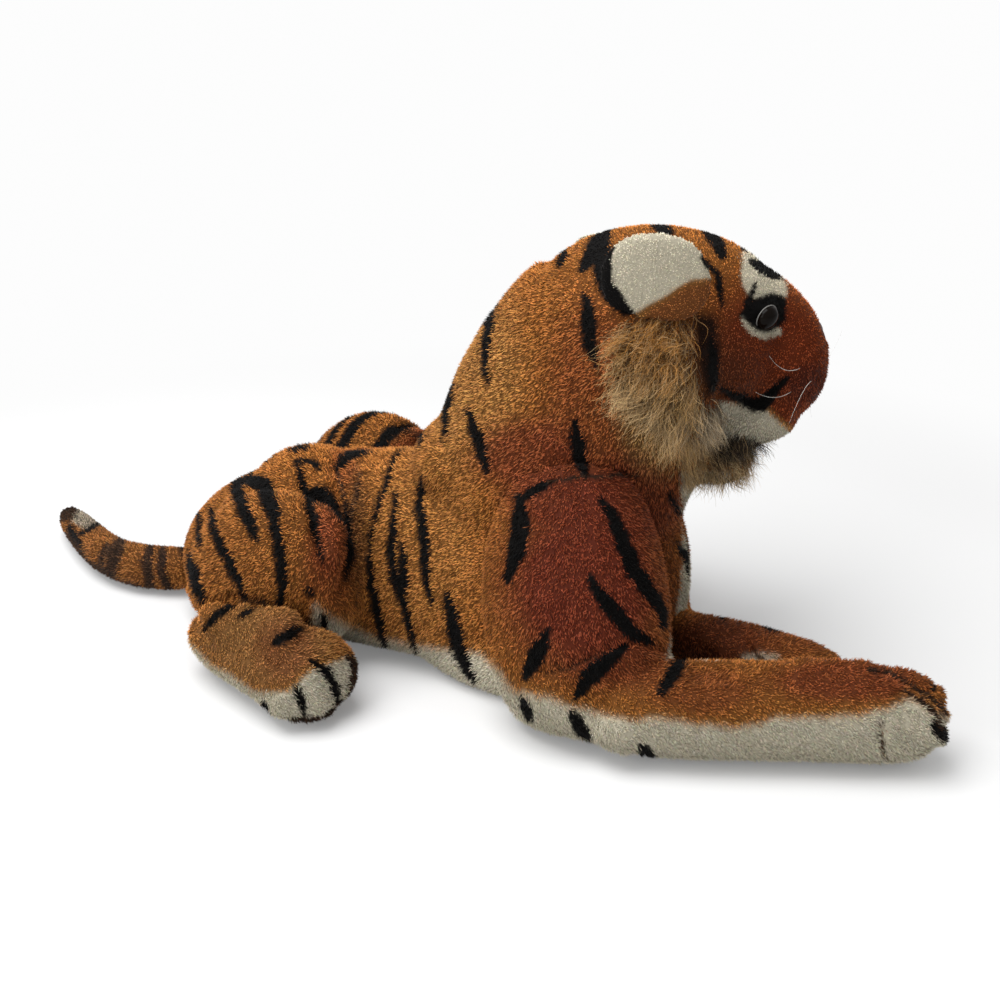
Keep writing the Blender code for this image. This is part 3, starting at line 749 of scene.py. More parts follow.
def write_points(mesh: bpy.types.Mesh, points: np.ndarray) -> None:
    """Move a mesh's vertices.

    Args:
        mesh: the mesh.
        points: one row a vertex.
    """
    mesh.vertices.foreach_set("co", points.ravel())
    mesh.update()


def write_coat(mesh: bpy.types.Mesh, colours: np.ndarray) -> None:
    """Keep the print's colours on a mesh's vertices.

    Args:
        mesh: the mesh.
        colours: linear colours, one row a vertex.
    """
    layer = mesh.color_attributes.new(name=COAT, type="FLOAT_COLOR", domain="POINT")
    rgba = np.concatenate((colours, np.ones((len(colours), 1))), axis=1)
    layer.data.foreach_set("color", rgba.ravel())


@dataclass(frozen=True)
class Crease:
    """A place where seams pull the stuffed cloth in, or the filling swells it with a depth under zero."""

    line: Line
    width: float
    depth: float = 2.5 * MM

    def pull(self, spots: np.ndarray) -> np.ndarray:
        """Find how deep the crease is at spots.

        Args:
            spots: photo pixels.

        Returns:
            Depths in metres.
        """
        away, along = line_reach(self.line, spots)
        fade = ease(np.minimum(along, 1 - along) / 0.15 + 0.2)
        return self.depth * fade * ease(1 - away / self.width)


@dataclass(frozen=True)
class Filler:
    """A plug of filling that rounds a skin out, on one or both sides of the mid-plane, in millimetres."""

    centre: Point
    radii: Point
    heading: float = 0
    pitch: float = 0
    both: bool = False

    def add(self, work: bmesh.types.BMesh) -> None:
        """Add the plug to a mesh that is to be wrapped.

        Args:
            work: the mesh.
        """
        x, y, z = (length * MM for length in self.centre)
        for side in (1, -1) if self.both else (1,):
            turn = Matrix.Rotation(self.heading * side, 4, "Z") @ Matrix.Rotation(self.pitch, 4, "Y")
            size = Matrix.Diagonal((*(radius * MM for radius in self.radii), 1))
            shape = Matrix.Translation((x, y * side, z)) @ turn @ size
            bmesh.ops.create_uvsphere(work, u_segments=36, v_segments=24, radius=1, matrix=shape)


@dataclass
class Skin:
    """The stuffed cloth of one or more CAD forms, without its pile."""

    name: str
    nodes: tuple[str, ...]
    slot: str
    coat: Coat
    voxel: float = 3 * MM
    smoothing: int = 6
    shrink: float = 2.0 * MM
    creases: tuple[Crease, ...] = ()
    fillers: tuple[Filler, ...] = ()
    hidden: tuple[str, ...] = ()
    mirror: Mirror = Mirror.WHOLE
    bend: Bend | None = None
    shift: Point = (0, 0, 0)
    upper_coat: Coat | None = None
    upper_shift: Point = (0, 0, 0)
    floor: float = 0.4 * MM
    lining: float = 1.2 * MM
    deepest: float = 20 * MM
    ripple: float = 0.6
    depth_shade: float = 0.2
    pale_depth: float = 0.8
    facing: float = 0.3
    fill: float = 0.9
    obj: bpy.types.Object | None = field(default=None, repr=False)

    def spots(self, points: np.ndarray) -> np.ndarray:
        """Find where the print of some places lies in the photo.

        Args:
            points: places in the row frame.

        Returns:
            Photo pixels.
        """
        return CAMERA.project(self.shown(points))

    def shown(self, points: np.ndarray) -> np.ndarray:
        """Find the places on the side that the photo shows.

        Args:
            points: places in the row frame.

        Returns:
            The places whose print they share.
        """
        if self.mirror is Mirror.NONE:
            return points
        near = HEAD.near_side(points)
        if self.mirror is Mirror.BEFORE_BEND:
            return np.where(self.bend.share(points)[:, None] > 0.5, points, near)
        return near

    def print_at(self, points: np.ndarray, wobble: np.ndarray | float = 0) -> np.ndarray:
        """Find the print's colour at some places.

        Args:
            points: places in the row frame.
            wobble: how far each place's print is moved, in photo pixels.

        Returns:
            Linear colours, one a row.
        """
        spots = self.spots(points) + wobble
        x, y = spots.T
        across, down = np.sin(y / 4.3 + x / 9), np.sin(x / 5.1) + np.sin(x / 13 + y / 7)
        spots = spots + np.stack((across, down), axis=1) * self.ripple
        colours = self.coat.colours(spots)
        if self.upper_coat:
            before = self.bend.share(points)[:, None] < 0.5
            colours = np.where(before, self.upper_coat.colours(spots), colours)
        return colours

    def over_filling(self, points: np.ndarray) -> np.ndarray:
        """Keep the cloth over the loose filling inside it.

        Args:
            points: the skin's vertices.

        Returns:
            The vertices, none in the filling.
        """
        for node in self.hidden:
            tree = BVHTree.FromPolygons(
                [vert.co for vert in frame["nodes"][node].data.vertices],
                [tuple(face.vertices) for face in frame["nodes"][node].data.polygons],
            )
            for number, point in enumerate(points):
                place, normal, _, away = tree.find_nearest(Vector(point))
                over = (Vector(point) - place).dot(normal)
                if over < self.lining and away < min(self.deepest, max(self.lining, 1.2 * abs(over))):
                    points[number] = place + normal * self.lining
        return points

    def union(self) -> bpy.types.Mesh:
        """Returns: one closed mesh round all the skin's nodes."""
        joined = bmesh.new()
        for node in (*self.nodes, *self.hidden):
            joined.from_mesh(frame["nodes"][node].data)
        bmesh.ops.remove_doubles(joined, verts=joined.verts, dist=0.01 * MM)
        for filler in self.fillers:
            filler.add(joined)
        mesh = to_mesh(joined, self.name)
        block = put(self.name, mesh)
        remesh = block.modifiers.new("Cloth round the forms", "REMESH")
        remesh.mode = "VOXEL"
        remesh.voxel_size = self.voxel * 1
        graph = bpy.context.evaluated_depsgraph_get()
        result = bpy.data.meshes.new_from_object(block.evaluated_get(graph))
        bpy.data.objects.remove(block)
        bpy.data.meshes.remove(mesh)
        result.name = self.name
        return result

    def outer(self, mesh: bpy.types.Mesh) -> None:
        """Keep only the outermost closed surface, and smooth it.

        Args:
            mesh: the mesh to change.
        """
        work = bmesh.new()
        work.from_mesh(mesh)
        work.verts.ensure_lookup_table()
        seen: set[int] = set()
        islands: list[list[bmesh.types.BMVert]] = []
        for start in work.verts:
            if start.index in seen:
                continue
            island, edge = [], [start]
            seen.add(start.index)
            while edge:
                vert = edge.pop()
                island.append(vert)
                for link in vert.link_edges:
                    other = link.other_vert(vert)
                    if other.index not in seen:
                        seen.add(other.index)
                        edge.append(other)
            islands.append(island)
        islands.sort(key=len)
        for island in islands[:-1]:
            bmesh.ops.delete(work, geom=island, context="VERTS")
        for _ in range(self.smoothing):
            bmesh.ops.smooth_vert(
                work, verts=work.verts, factor=0.5, use_axis_x=True, use_axis_y=True, use_axis_z=True,
            )
        work.to_mesh(mesh)
        work.free()
        mesh.shade_smooth()

    def build(self) -> bpy.types.Object:
        """Returns: the finished skin."""
        mesh = self.union()
        self.outer(mesh)
        points, normals = read_points(mesh), read_points(mesh, "normal")
        points -= normals * self.shrink
        spots = self.spots(points)
        flipped = np.abs(self.shown(points)[:, 1] - points[:, 1]) > 1e-6
        facing = normals.copy()
        facing[flipped, 1] *= -1
        *_, ahead, _ = CAMERA.axes()
        seen = ease(-(facing @ ahead) / self.facing)
        for crease in self.creases:
            points -= normals * (crease.pull(spots) * seen)[:, None]
        points = self.over_filling(points) + np.array(self.shift)
        if self.bend:
            before = np.maximum(1 - ease(self.bend.share(points)), ease(points[:, 2] / (15 * MM) - 2))
            points += before[:, None] * np.array(self.upper_shift)
        points[:, 2] = np.maximum(points[:, 2], self.floor)
        write_points(mesh, points)
        colours = self.print_at(points)
        write_coat(mesh, colours * (self.depth_shade * (1 + self.pale_depth * paleness(colours))))
        self.obj = add_object(self.name, mesh, self.slot)
        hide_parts(*self.nodes)
        return self.obj


@dataclass(frozen=True)
class Roots:
    """Where fibres leave a skin."""

    points: np.ndarray
    normals: np.ndarray

    def keep(self, mask: np.ndarray) -> "Roots":
        """Pick some of the roots.

        Args:
            mask: True for each root to keep.

        Returns:
            The kept roots.
        """
        return Roots(self.points[mask], self.normals[mask])


def scatter(obj: bpy.types.Object, spacing: float, rng: np.random.Generator) -> Roots:
    """Spread roots evenly over a skin.

    Args:
        obj: the skin.
        spacing: the area of cloth for each root, in square metres.
        rng: the random numbers.

    Returns:
        The roots.
    """
    mesh = obj.data
    mesh.calc_loop_triangles()
    corners = np.empty(len(mesh.loop_triangles) * 3, np.int64)
    mesh.loop_triangles.foreach_get("vertices", corners)
    corners = corners.reshape(-1, 3)
    points, normals = read_points(mesh), read_points(mesh, "normal")
    first, second, third = (points[corners[:, i]] for i in range(3))
    areas = np.linalg.norm(np.cross(second - first, third - first), axis=1) / 2
    count = int(areas.sum() / spacing)
    picks = np.searchsorted(np.cumsum(areas) / areas.sum(), rng.random(count))
    shares = rng.random((count, 2))
    over = shares.sum(axis=1) > 1
    shares[over] = 1 - shares[over]
    weights = np.column_stack((1 - shares.sum(axis=1), shares))[:, :, None]
    chosen = corners[np.minimum(picks, len(corners) - 1)]
    return Roots((points[chosen] * weights).sum(axis=1), unit((normals[chosen] * weights).sum(axis=1)))


def lay_along(normals: np.ndarray, flow: np.ndarray, lift: np.ndarray) -> np.ndarray:
    """Lean fibres along a flow.

    Args:
        normals: the skin's directions at the roots.
        flow: the way that the pile is brushed.
        lift: the angle between each fibre and the skin, in radians.

    Returns:
        Unit directions of the fibres.
    """
    flat = unit(flow - (flow * normals).sum(axis=1, keepdims=True) * normals)
    return flat * np.cos(lift)[:, None] + normals * np.sin(lift)[:, None]


@dataclass(frozen=True)
class Fibre:
    """One shape of fibre tuft, made once and repeated."""

    length: float
    width: float
    flatness: float = 0.55
    joints: int = 0
    tip: float = 0.12

    def shape(self) -> tuple[np.ndarray, np.ndarray]:
        """Returns: the tuft's vertices and triangles, one unit long and wide, standing on the origin."""
        tuft = bmesh.new()
        bmesh.ops.create_cone(
            tuft, cap_ends=True, segments=3, radius1=0.5, radius2=self.tip / 2 if self.joints else 0, depth=1
        )
        bmesh.ops.translate(tuft, verts=tuft.verts, vec=(0, 0, 0.5))
        for number in range(self.joints):
            geometry = [*tuft.verts, *tuft.edges, *tuft.faces]
            height = (number + 1) / (self.joints + 1)
            bmesh.ops.bisect_plane(tuft, geom=geometry, plane_co=(0, 0, height), plane_no=(0, 0, 1))
        bmesh.ops.triangulate(tuft, faces=tuft.faces)
        tuft.verts.index_update()
        points = np.array([vert.co[:] for vert in tuft.verts])
        faces = np.array([[vert.index for vert in face.verts] for face in tuft.faces])
        tuft.free()
        return points, faces

    def grow(
        self,
        name: str,
        roots: np.ndarray,
        starts: np.ndarray,
        ends: np.ndarray,
        lengths: np.ndarray,
        sides: np.ndarray,
        colours: np.ndarray,
        root_shade: np.ndarray | float,
        slot: str,
        curl: float = 0,
    ) -> bpy.types.Object:
        """Repeat the tuft at many roots.

        Args:
            name: the piece's name.
            roots: where the tufts stand.
            starts: their directions at the root.
            ends: their directions at the tip.
            lengths: their lengths.
            sides: directions across each tuft.
            colours: linear colours of the tips.
            root_shade: how dark the roots are, as a share of the tips.
            slot: the record's material slot.
            curl: how far a tuft waves to each side, as a share of its length.

        Returns:
            The piece.
        """
        shape, faces = self.shape()
        count, size = len(roots), len(shape)
        height = shape[:, 2]
        across = unit(sides - (sides * starts).sum(axis=1, keepdims=True) * starts)
        thick = np.cross(starts, across)
        run = starts[:, None, :] * height[None, :, None]
        bend = (ends - starts)[:, None, :] * (height**2)[None, :, None] / 2
        body = roots[:, None, :] + (run + bend) * lengths[:, None, None]
        phase = np.arange(count) * 2.4
        wave = np.sin(2 * np.pi * height[None] + phase[:, None]) - np.sin(phase)[:, None]
        body += across[:, None, :] * (wave * curl * lengths[:, None])[:, :, None]
        body += across[:, None, :] * (shape[:, 0] * self.width)[None, :, None]
        body += thick[:, None, :] * (shape[:, 1] * self.width * self.flatness)[None, :, None]
        mesh = bpy.data.meshes.new(name)
        mesh.vertices.add(count * size)
        mesh.vertices.foreach_set("co", body.ravel())
        corners = (faces[None] + (np.arange(count) * size)[:, None, None]).ravel()
        mesh.loops.add(len(corners))
        mesh.loops.foreach_set("vertex_index", corners.astype(np.int32))
        mesh.polygons.add(len(corners) // 3)
        mesh.polygons.foreach_set("loop_start", np.arange(0, len(corners), 3, dtype=np.int32))
        mesh.update(calc_edges=True)
        mesh.shade_smooth()
        dark = np.broadcast_to(root_shade, count)[:, None]
        shade = dark + (1 - dark) * height[None]
        write_coat(mesh, (colours[:, None, :] * shade[:, :, None]).reshape(-1, 3))
        self.unwrap(mesh, shape, faces, count)
        return add_object(name, mesh, slot)

    def unwrap(self, mesh: bpy.types.Mesh, shape: np.ndarray, faces: np.ndarray, count: int) -> None:
        """Give every tuft its own cell of the bake map.

        Args:
            mesh: the repeated tufts.
            shape: the one tuft's vertices.
            faces: its triangles.
            count: how many tufts there are.
        """
        columns = math.ceil(math.sqrt(count))
        cell = 1 / columns
        numbers = np.arange(count)
        corner = np.stack((numbers % columns, numbers // columns), axis=1) * cell
        share = 0.8 / len(faces)
        local = np.empty((len(faces), 3, 2))
        for index, face in enumerate(faces):
            low, high = index * share + 0.1, (index + 0.9) * share + 0.1
            local[index, :, 0] = (low, high, (low + high) / 2)
            local[index, :, 1] = (0.1, 0.1, 0.9) if len(faces) < 5 else 0.1 + 0.8 * shape[face, 2]
            if np.ptp(local[index, :, 1]) < 0.05:
                local[index, :, 1] = (0.1, 0.1, 0.3)
        places = corner[:, None, None, :] + local[None] * cell
        layer = mesh.uv_layers.new(name=BAKE_MAP)
        layer.data.foreach_set("uv", places.ravel())


ELBOWS = {"right": math.radians(16), "left": math.radians(-38)}

BELLY_LINE: Line = (
    (316, 604), (330, 617), (380, 639), (412, 644), (449, 650), (479, 652), (498, 669), (515, 692),
    (544, 696), (569, 705), (590, 711), (633, 721), (661, 718), (697, 724), (733, 728), (755, 724),
    (778, 717), (817, 718), (859, 714), (887, 708), (905, 699), (920, 703), (935, 714), (980, 722),
    (980, 900), (310, 900), (310, 640),
)
BODY_STRIPES_AND_SHADE_LINES: tuple[Stripe, ...] = (
    Stripe(((510, 283), (498, 298), (491, 318), (487, 346), (486, 367), (489, 383)), 8),
    Stripe(((459, 350), (453, 372), (449, 404), (444, 441)), 7),
    Stripe(((428, 419), (420, 448)), 4),
    Stripe(((469, 409), (475, 426), (482, 448), (488, 472)), 10),
    Stripe(((569, 247), (558, 267)), 6),
    Stripe(((612, 227), (598, 243), (583, 271)), 14),
    Stripe(((586, 296), (590, 318), (590, 339), (597, 363)), 13),
    Stripe(((575, 422), (579, 443), (584, 476)), 13),
    Stripe(((551, 481), (537, 488), (522, 499)), 8),
    Stripe(((520, 497), (521, 524), (517, 553), (508, 578)), 16),
    # painted shade: thin dark lines in the creases round the shoulder and upper arm
    Stripe(((549, 482), (577, 476), (602, 477), (638, 474)), 3, Dye.SMOKE, blunt=0.8, soft=3),
    Stripe(((544, 673), (569, 667), (590, 658), (604, 650)), 3, Dye.SMOKE, blunt=0.6, soft=4),
    Stripe(((601, 498), (614, 519), (622, 540), (633, 568), (647, 589), (662, 610), (662, 625)), 14),
    Stripe(((590, 578), (605, 601), (622, 620), (633, 633), (651, 641)), 14),
    Stripe(((548, 631), (536, 656), (525, 677)), 14),
    Stripe(((626, 646), (601, 665), (586, 679), (576, 696)), 14),
    Stripe(((683, 658), (673, 673), (660, 692)), 13),
    Stripe(((670, 492), (679, 513)), 6),
    Stripe(((677, 543), (689, 564), (691, 585)), 7),
    Stripe(((403, 442), (389, 476), (376, 515), (369, 548)), 5),
    Stripe(((371, 548), (371, 578), (379, 617), (387, 652)), 8),
    Stripe(((397, 494), (394, 527), (392, 558), (397, 584), (405, 604), (417, 652)), 8),
    Stripe(((403, 543), (405, 578), (405, 604)), 8),
    Stripe(((424, 476), (420, 502), (425, 540), (427, 578), (433, 604)), 9),
    Stripe(((447, 593), (454, 618), (458, 644), (466, 665), (475, 679)), 13),
    Stripe(((323, 612), (325, 635)), 7),
    Stripe(((336, 637), (343, 650)), 6),
    Stripe(((425, 665), (441, 682)), 7, blunt=0.7),
    Stripe(((523, 700), (529, 717)), 9, blunt=0.7),
    Stripe(((572, 715), (586, 736)), 11, blunt=0.7),
    Stripe(((641, 747), (651, 761)), 11, blunt=0.7),
    Stripe(((200, 512), (200, 548)), 5),
    Stripe(((212, 508), (218, 538), (231, 564), (242, 587), (249, 601)), 9),
    Stripe(((238, 474), (238, 486), (242, 502), (249, 520), (257, 539)), 12),
    Stripe(((240, 482), (253, 480), (266, 488), (273, 511), (277, 530)), 15),
    Stripe(((272, 505), (280, 547), (283, 578), (282, 602)), 10, blunt=0.6),
    Stripe(((297, 463), (303, 480), (309, 500), (314, 520), (318, 538), (323, 558)), 10),
    Stripe(((297, 464), (304, 461), (313, 463), (323, 471)), 5),
    # painted shade: a thin dark line in the crease between haunch and hind foot
    Stripe(((243, 600), (262, 601), (283, 610), (312, 628)), 4, Dye.SMOKE, blunt=0.7, soft=3),
    Stripe(((190, 553), (195, 573), (201, 594), (203, 604)), 10),
    Stripe(((306, 589), (314, 593)), 7),
    Stripe(((259, 461), (274, 454)), 7),
    Stripe(((290, 451), (310, 447)), 6),
    Stripe(((336, 469), (351, 454), (377, 447)), 10),
    Stripe(((343, 425), (365, 430), (387, 440)), 8),
    Stripe(((372, 419), (384, 428)), 6),
    Stripe(((399, 423), (412, 436)), 7),
    Stripe(((605, 244), (601, 270), (610, 294), (627, 311)), 14, blunt=0.6),
    Stripe(((930, 686), (934, 692)), 5),
    Stripe(((934, 725), (944, 738)), 10, blunt=0.8),
    # painted shade: a dark line under the paw where it meets the floor, and dark lines in the toe creases and the
    # paw's side crease
    Stripe(((893, 766), (915, 768), (938, 764)), 6, Dye.SMOKE, blunt=0.8),
    Stripe(((868, 669), (888, 673), (905, 681), (933, 700), (945, 713)), 4, Dye.SMOKE, blunt=0.7),
    Stripe(((903, 690), (925, 704), (936, 716), (940, 730)), 4, Dye.SMOKE, blunt=0.7),
    Stripe(((882, 722), (880, 740), (884, 757)), 3, Dye.UMBER, blunt=0.7),
)
FACE_WASHES: tuple[Layer, ...] = (
    Wash((700, 270), (110, 60), Dye.TAN, 0.8),
    Wash((772, 362), (82, 92), Dye.FACE),
    Wash((812, 385), (30, 22), Dye.DEEP_RUST, 0.8),
    Wash((700, 400), (70, 90), Dye.UMBER, 0.5),
    Wash((655, 400), (40, 70), Dye.BEIGE, 0.8),
)
FACE_MARKS: tuple[Layer, ...] = (
    Panel(
        ((742, 253), (757, 254), (775, 268), (787, 285), (786, 299), (768, 296), (752, 300), (742, 285)),
        Dye.CREAM,
    ),
    Stripe(((743, 318), (752, 329), (765, 335), (780, 332)), 7, Dye.CREAM, blunt=0.6),
    Panel(
        ((722, 400), (745, 405), (766, 404), (781, 418), (798, 431), (792, 450), (760, 466), (722, 458)),
        Dye.GOLD,
    ),
    Panel(
        ((720, 400), (745, 406), (764, 406), (776, 420), (793, 434), (790, 452), (760, 468), (720, 460)),
        Dye.CREAM,
    ),
    Panel(((705, 445), (751, 438), (752, 456), (715, 468)), Dye.BLACK, soft=8, strength=0.9),
    Stripe(((652, 221), (669, 232)), 12, blunt=0.7),
    Stripe(((709, 233), (717, 243), (723, 254)), 12, blunt=0.7),
    Stripe(((751, 262), (765, 269), (779, 278)), 10),
    Stripe(((744, 249), (766, 258), (784, 278)), 4, blunt=0.8),
    Stripe(((755, 282), (753, 294), (744, 307)), 5),
    Panel(
        (
            (738, 316), (748, 303), (758, 297), (770, 294), (784, 297), (788, 302), (785, 322),
            (772, 332), (757, 330),
        ),
        Dye.BLACK,
    ),
    Stripe(((723, 388), (738, 397), (751, 404), (763, 403), (774, 392), (787, 378)), 11),
    Panel(((694, 312), (716, 318), (720, 345), (717, 392), (706, 398), (697, 360)), Dye.BLACK, 12, 0.9),
    Stripe(((712, 340), (714, 362), (713, 390)), 9),
    Stripe(((702, 257), (719, 277), (721, 299), (723, 307)), 6),
)
BODY_COAT = Coat(
    Dye.TAN,
    (
        Wash((260, 555), (75, 75), Dye.UMBER, 0.22),
        Wash((420, 540), (60, 110), Dye.GOLD, 0.45),
        Wash((470, 370), (60, 100), Dye.GOLD, 0.85),
        Wash((585, 585), (92, 100), Dye.RUST),
        Wash((630, 500), (70, 50), Dye.RUST, 0.8),
        Wash((600, 400), (60, 120), Dye.RUST, 0.55),
        Wash((530, 455), (60, 40), Dye.RUST, 0.75),
        Wash((620, 660), (60, 30), Dye.RUST, 0.6),
        Wash((330, 560), (30, 60), Dye.CHESTNUT, 0.6),
        Wash((370, 430), (50, 18), Dye.RUST, 0.5),
        Wash((700, 690), (60, 26), Dye.RUST, 0.5),
        Wash((850, 680), (90, 24), Dye.CHESTNUT),
        Wash((560, 500), (60, 30), Dye.RUST, 0.8),
        Wash((345, 468), (16, 26), Dye.CHESTNUT, 0.6),
        Wash((328, 540), (18, 45), Dye.RUST, 0.55),
        Panel(tuple((x, y - 8) for x, y in BELLY_LINE), Dye.GOLD, soft=14, strength=0.6),
        Panel(BELLY_LINE, Dye.CREAM, soft=14),
        # painted shade: this dark wash and these dark lines along the fold in front of the haunch stand in for
        # the fold's shadow
        Wash((358, 530), (12, 70), Dye.UMBER, 0.6),
        Stripe(((337, 468), (344, 490), (347, 511)), 3, Dye.SMOKE, blunt=0.5, soft=3),
        Stripe(((347, 500), (349, 525), (350, 550), (346, 580)), 8, blunt=0.4, soft=4),
        Stripe(((363, 474), (356, 498), (353, 520)), 3, Dye.SMOKE, blunt=0.4, soft=3),
        Panel(
            (
                (308, 487), (318, 484), (328, 488), (338, 499), (345, 516), (346, 530), (338, 520),
                (328, 508), (314, 503),
            ),
            Dye.BLACK,
        ),
        Panel(
            ((681, 470), (730, 470), (720, 660), (664, 658), (671, 635), (678, 600), (682, 560)),
            Dye.CREAM,
        ),
        *FACE_WASHES,
        *BODY_STRIPES_AND_SHADE_LINES,
        *FACE_MARKS,
    ),
)
EAR_COAT = Coat(
    Dye.CREAM,
    (
        Panel(
            (
                (694, 278), (720, 280), (730, 320), (705, 330), (625, 330), (637, 312), (652, 303),
                (667, 294), (680, 286),
            ),
            Dye.GOLD,
            soft=5,
        ),
        Panel(
            ((690, 284), (722, 282), (730, 330), (640, 330), (650, 310), (672, 296)),
            Dye.CHESTNUT,
            soft=12,
            strength=0.6,
        ),
        Stripe(((606, 236), (596, 262), (600, 292), (624, 318)), 24, blunt=0.8),
        Stripe(((702, 257), (719, 277), (721, 299), (723, 307)), 7),
    ),
)
FAR_FORELEG_COAT = Coat(
    Dye.TAN,
    (
        # painted shade: this dark wash stands in for the shadow that the far foreleg lies in
        Wash((715, 640), (60, 30), Dye.DEEP_RUST, 0.85),
        Wash((790, 640), (60, 20), Dye.CHESTNUT, 0.6),
        Panel(((742, 655), (760, 652), (778, 656), (776, 668), (742, 668)), Dye.CREAM, soft=8, strength=0.7),
        Stripe(((716, 609), (722, 619)), 8),
        Stripe(((758, 621), (777, 631)), 9),
    ),
)
HIND_FOOT_COAT = Coat(
    Dye.TAN,
    (
        Wash((265, 645), (80, 50), Dye.SAND, 0.45),
        Wash((285, 648), (32, 34), Dye.RUST, 0.45),
        Panel(
            (
                (190, 632), (202, 650), (218, 661), (236, 672), (253, 683), (267, 686), (287, 686),
                (298, 676), (309, 665), (322, 662), (347, 651), (364, 655), (364, 755), (190, 755),
            ),
            Dye.GOLD,
            soft=10,
        ),
        Panel(
            (
                (188, 640), (202, 656), (218, 667), (236, 678), (253, 689), (267, 692), (289, 691),
                (300, 681), (311, 670), (324, 667), (347, 656), (364, 660), (364, 755), (188, 755),
            ),
            Dye.CREAM,
            soft=8,
        ),
        Stripe(((203, 630), (216, 614), (236, 604)), 7),
        Stripe(((237, 617), (254, 608)), 6),
        Stripe(((275, 642), (297, 629)), 11, blunt=0.6),
        Stripe(((311, 660), (324, 671), (334, 684), (337, 704)), 8, blunt=0.6),
        Stripe(((295, 688), (302, 701), (302, 715)), 7, blunt=0.6),
        Stripe(((262, 703), (269, 719)), 6, blunt=0.6),
        # painted shade: a dark line along the foot's underside and toe end, where it meets the floor
        Stripe(
            ((250, 712), (271, 723), (324, 720), (348, 700), (355, 672), (349, 657)), 8, Dye.SMOKE, blunt=0.8
        ),
    ),
)
TAIL_COAT = Coat(
    Dye.TAN,
    (
        Panel(((66, 505), (86, 500), (108, 506), (104, 524), (86, 530), (66, 518)), Dye.DUSTY_CREAM),
        Panel(((50, 480), (110, 480), (104, 503), (84, 506), (72, 521), (50, 525)), Dye.BLACK),
        Wash((110, 556), (95, 60), Dye.UMBER, 0.45),
        Stripe(((82, 534), (91, 529), (100, 526)), 5, blunt=0.7),
        Stripe(((70, 527), (74, 535), (80, 545)), 7, blunt=0.7),
        Stripe(((108, 545), (103, 555), (101, 566)), 5, Dye.SMOKE, blunt=0.8),
        Stripe(((122, 541), (114, 554), (112, 572)), 12, Dye.SMOKE, blunt=0.8, soft=5),
        Stripe(((151, 548), (147, 566), (152, 588)), 9, Dye.SMOKE, blunt=0.8),
        Stripe(((164, 550), (161, 568), (169, 590)), 8, Dye.SMOKE, blunt=0.8),
        Panel(((178, 530), (205, 530), (205, 575), (190, 570), (180, 556)), Dye.BLACK),
        # painted shade: a dark line along the tail's underside, where it lies near the floor
        Stripe(((66, 534), (88, 562), (118, 582), (150, 592), (190, 602)), 7, Dye.SMOKE, blunt=0.6, soft=5),
    ),
)
TRUNK_CREASES: tuple[Crease, ...] = (
    Crease(((203, 605), (234, 596), (267, 604), (292, 617), (313, 632)), 9, 3 * MM),
    Crease(((337, 466), (345, 488), (350, 511), (352, 541), (350, 570), (343, 600)), 13, 9 * MM),
    Crease(((318, 476), (330, 500), (335, 530), (332, 565)), 22, -5.5 * MM),
    Crease(((297, 466), (309, 500), (316, 532), (323, 558)), 8, 4 * MM),
    Crease(((512, 512), (520, 500), (533, 491), (549, 482), (577, 476), (600, 477), (640, 474)), 7, 3 * MM),
    Crease(((728, 391), (744, 401), (759, 403), (770, 393), (780, 382), (786, 378)), 5, 2 * MM),
    Crease(((812, 414), (802, 430), (788, 448)), 20, 3 * MM),
    Crease(((198, 580), (206, 602), (230, 606)), 24, -5 * MM),
)
TAIL_CREASES: tuple[Crease, ...] = (
    Crease(((40, 500), (90, 545), (130, 572), (240, 575)), 60, -3 * MM),
)
TRUNK_FILLERS: tuple[Filler, ...] = (
    Filler((217.2, 28, 230.2), (47, 27, 22), HEAD.heading, math.radians(48)),
    Filler((218.6, 28.6, 200), (34, 28, 37), HEAD.heading),
    Filler((188, 14, 142), (24, 20, 19), HEAD.heading),
    Filler((-86, -10, 76), (50, 52, 51)),
    Filler((-108, -38, 62), (40, 36, 47)),
    Filler((22, 0, 132), (31, 55, 27)),
    Filler((140, 0, 55), (38, 48, 75)),
    Filler((65, 61, 20), (72, 30, 26), math.radians(18), both=True),
    Filler((-84, 60, 64), (44, 36, 42), both=True),
    Filler((-104, 48, 52), (36, 38, 42), both=True),
)
ARM_CREASES: tuple[Crease, ...] = (
    Crease(((544, 673), (569, 667), (590, 658), (611, 646), (643, 644), (673, 654)), 9, 3 * MM),
    Crease(((500, 640), (520, 680), (560, 710), (600, 730), (640, 745)), 24, -5 * MM),
    Crease(((925, 690), (936, 715), (932, 745)), 26, -5 * MM),
    Crease(((890, 668), (912, 676), (928, 690)), 14, -2.5 * MM),
    Crease(((688, 664), (712, 670), (740, 670)), 24, 5 * MM),
    Crease(((785, 664), (815, 660), (850, 660), (880, 664)), 28, -6.5 * MM),
    Crease(((868, 669), (888, 673), (905, 681), (933, 700), (945, 713)), 7, 3.5 * MM),
    Crease(((903, 690), (925, 704), (936, 716), (940, 730)), 7, 3.5 * MM),
    Crease(((882, 718), (880, 738), (884, 758)), 7, 3 * MM),
)
FOOT_CREASES: tuple[Crease, ...] = (
    Crease(((204, 628), (235, 618), (268, 624), (300, 640)), 30, -13 * MM),
    Crease(((250, 712), (290, 722), (335, 705)), 22, -4 * MM),
    Crease(((278, 694), (286, 710)), 14, -2 * MM),
    Crease(((310, 684), (322, 706)), 14, -2 * MM),
    Crease(((311, 660), (324, 671), (334, 684), (337, 704)), 6, 3 * MM),
    Crease(((295, 688), (302, 701), (302, 716)), 6, 3 * MM),
    Crease(((262, 703), (269, 719)), 5, 2 * MM),
)


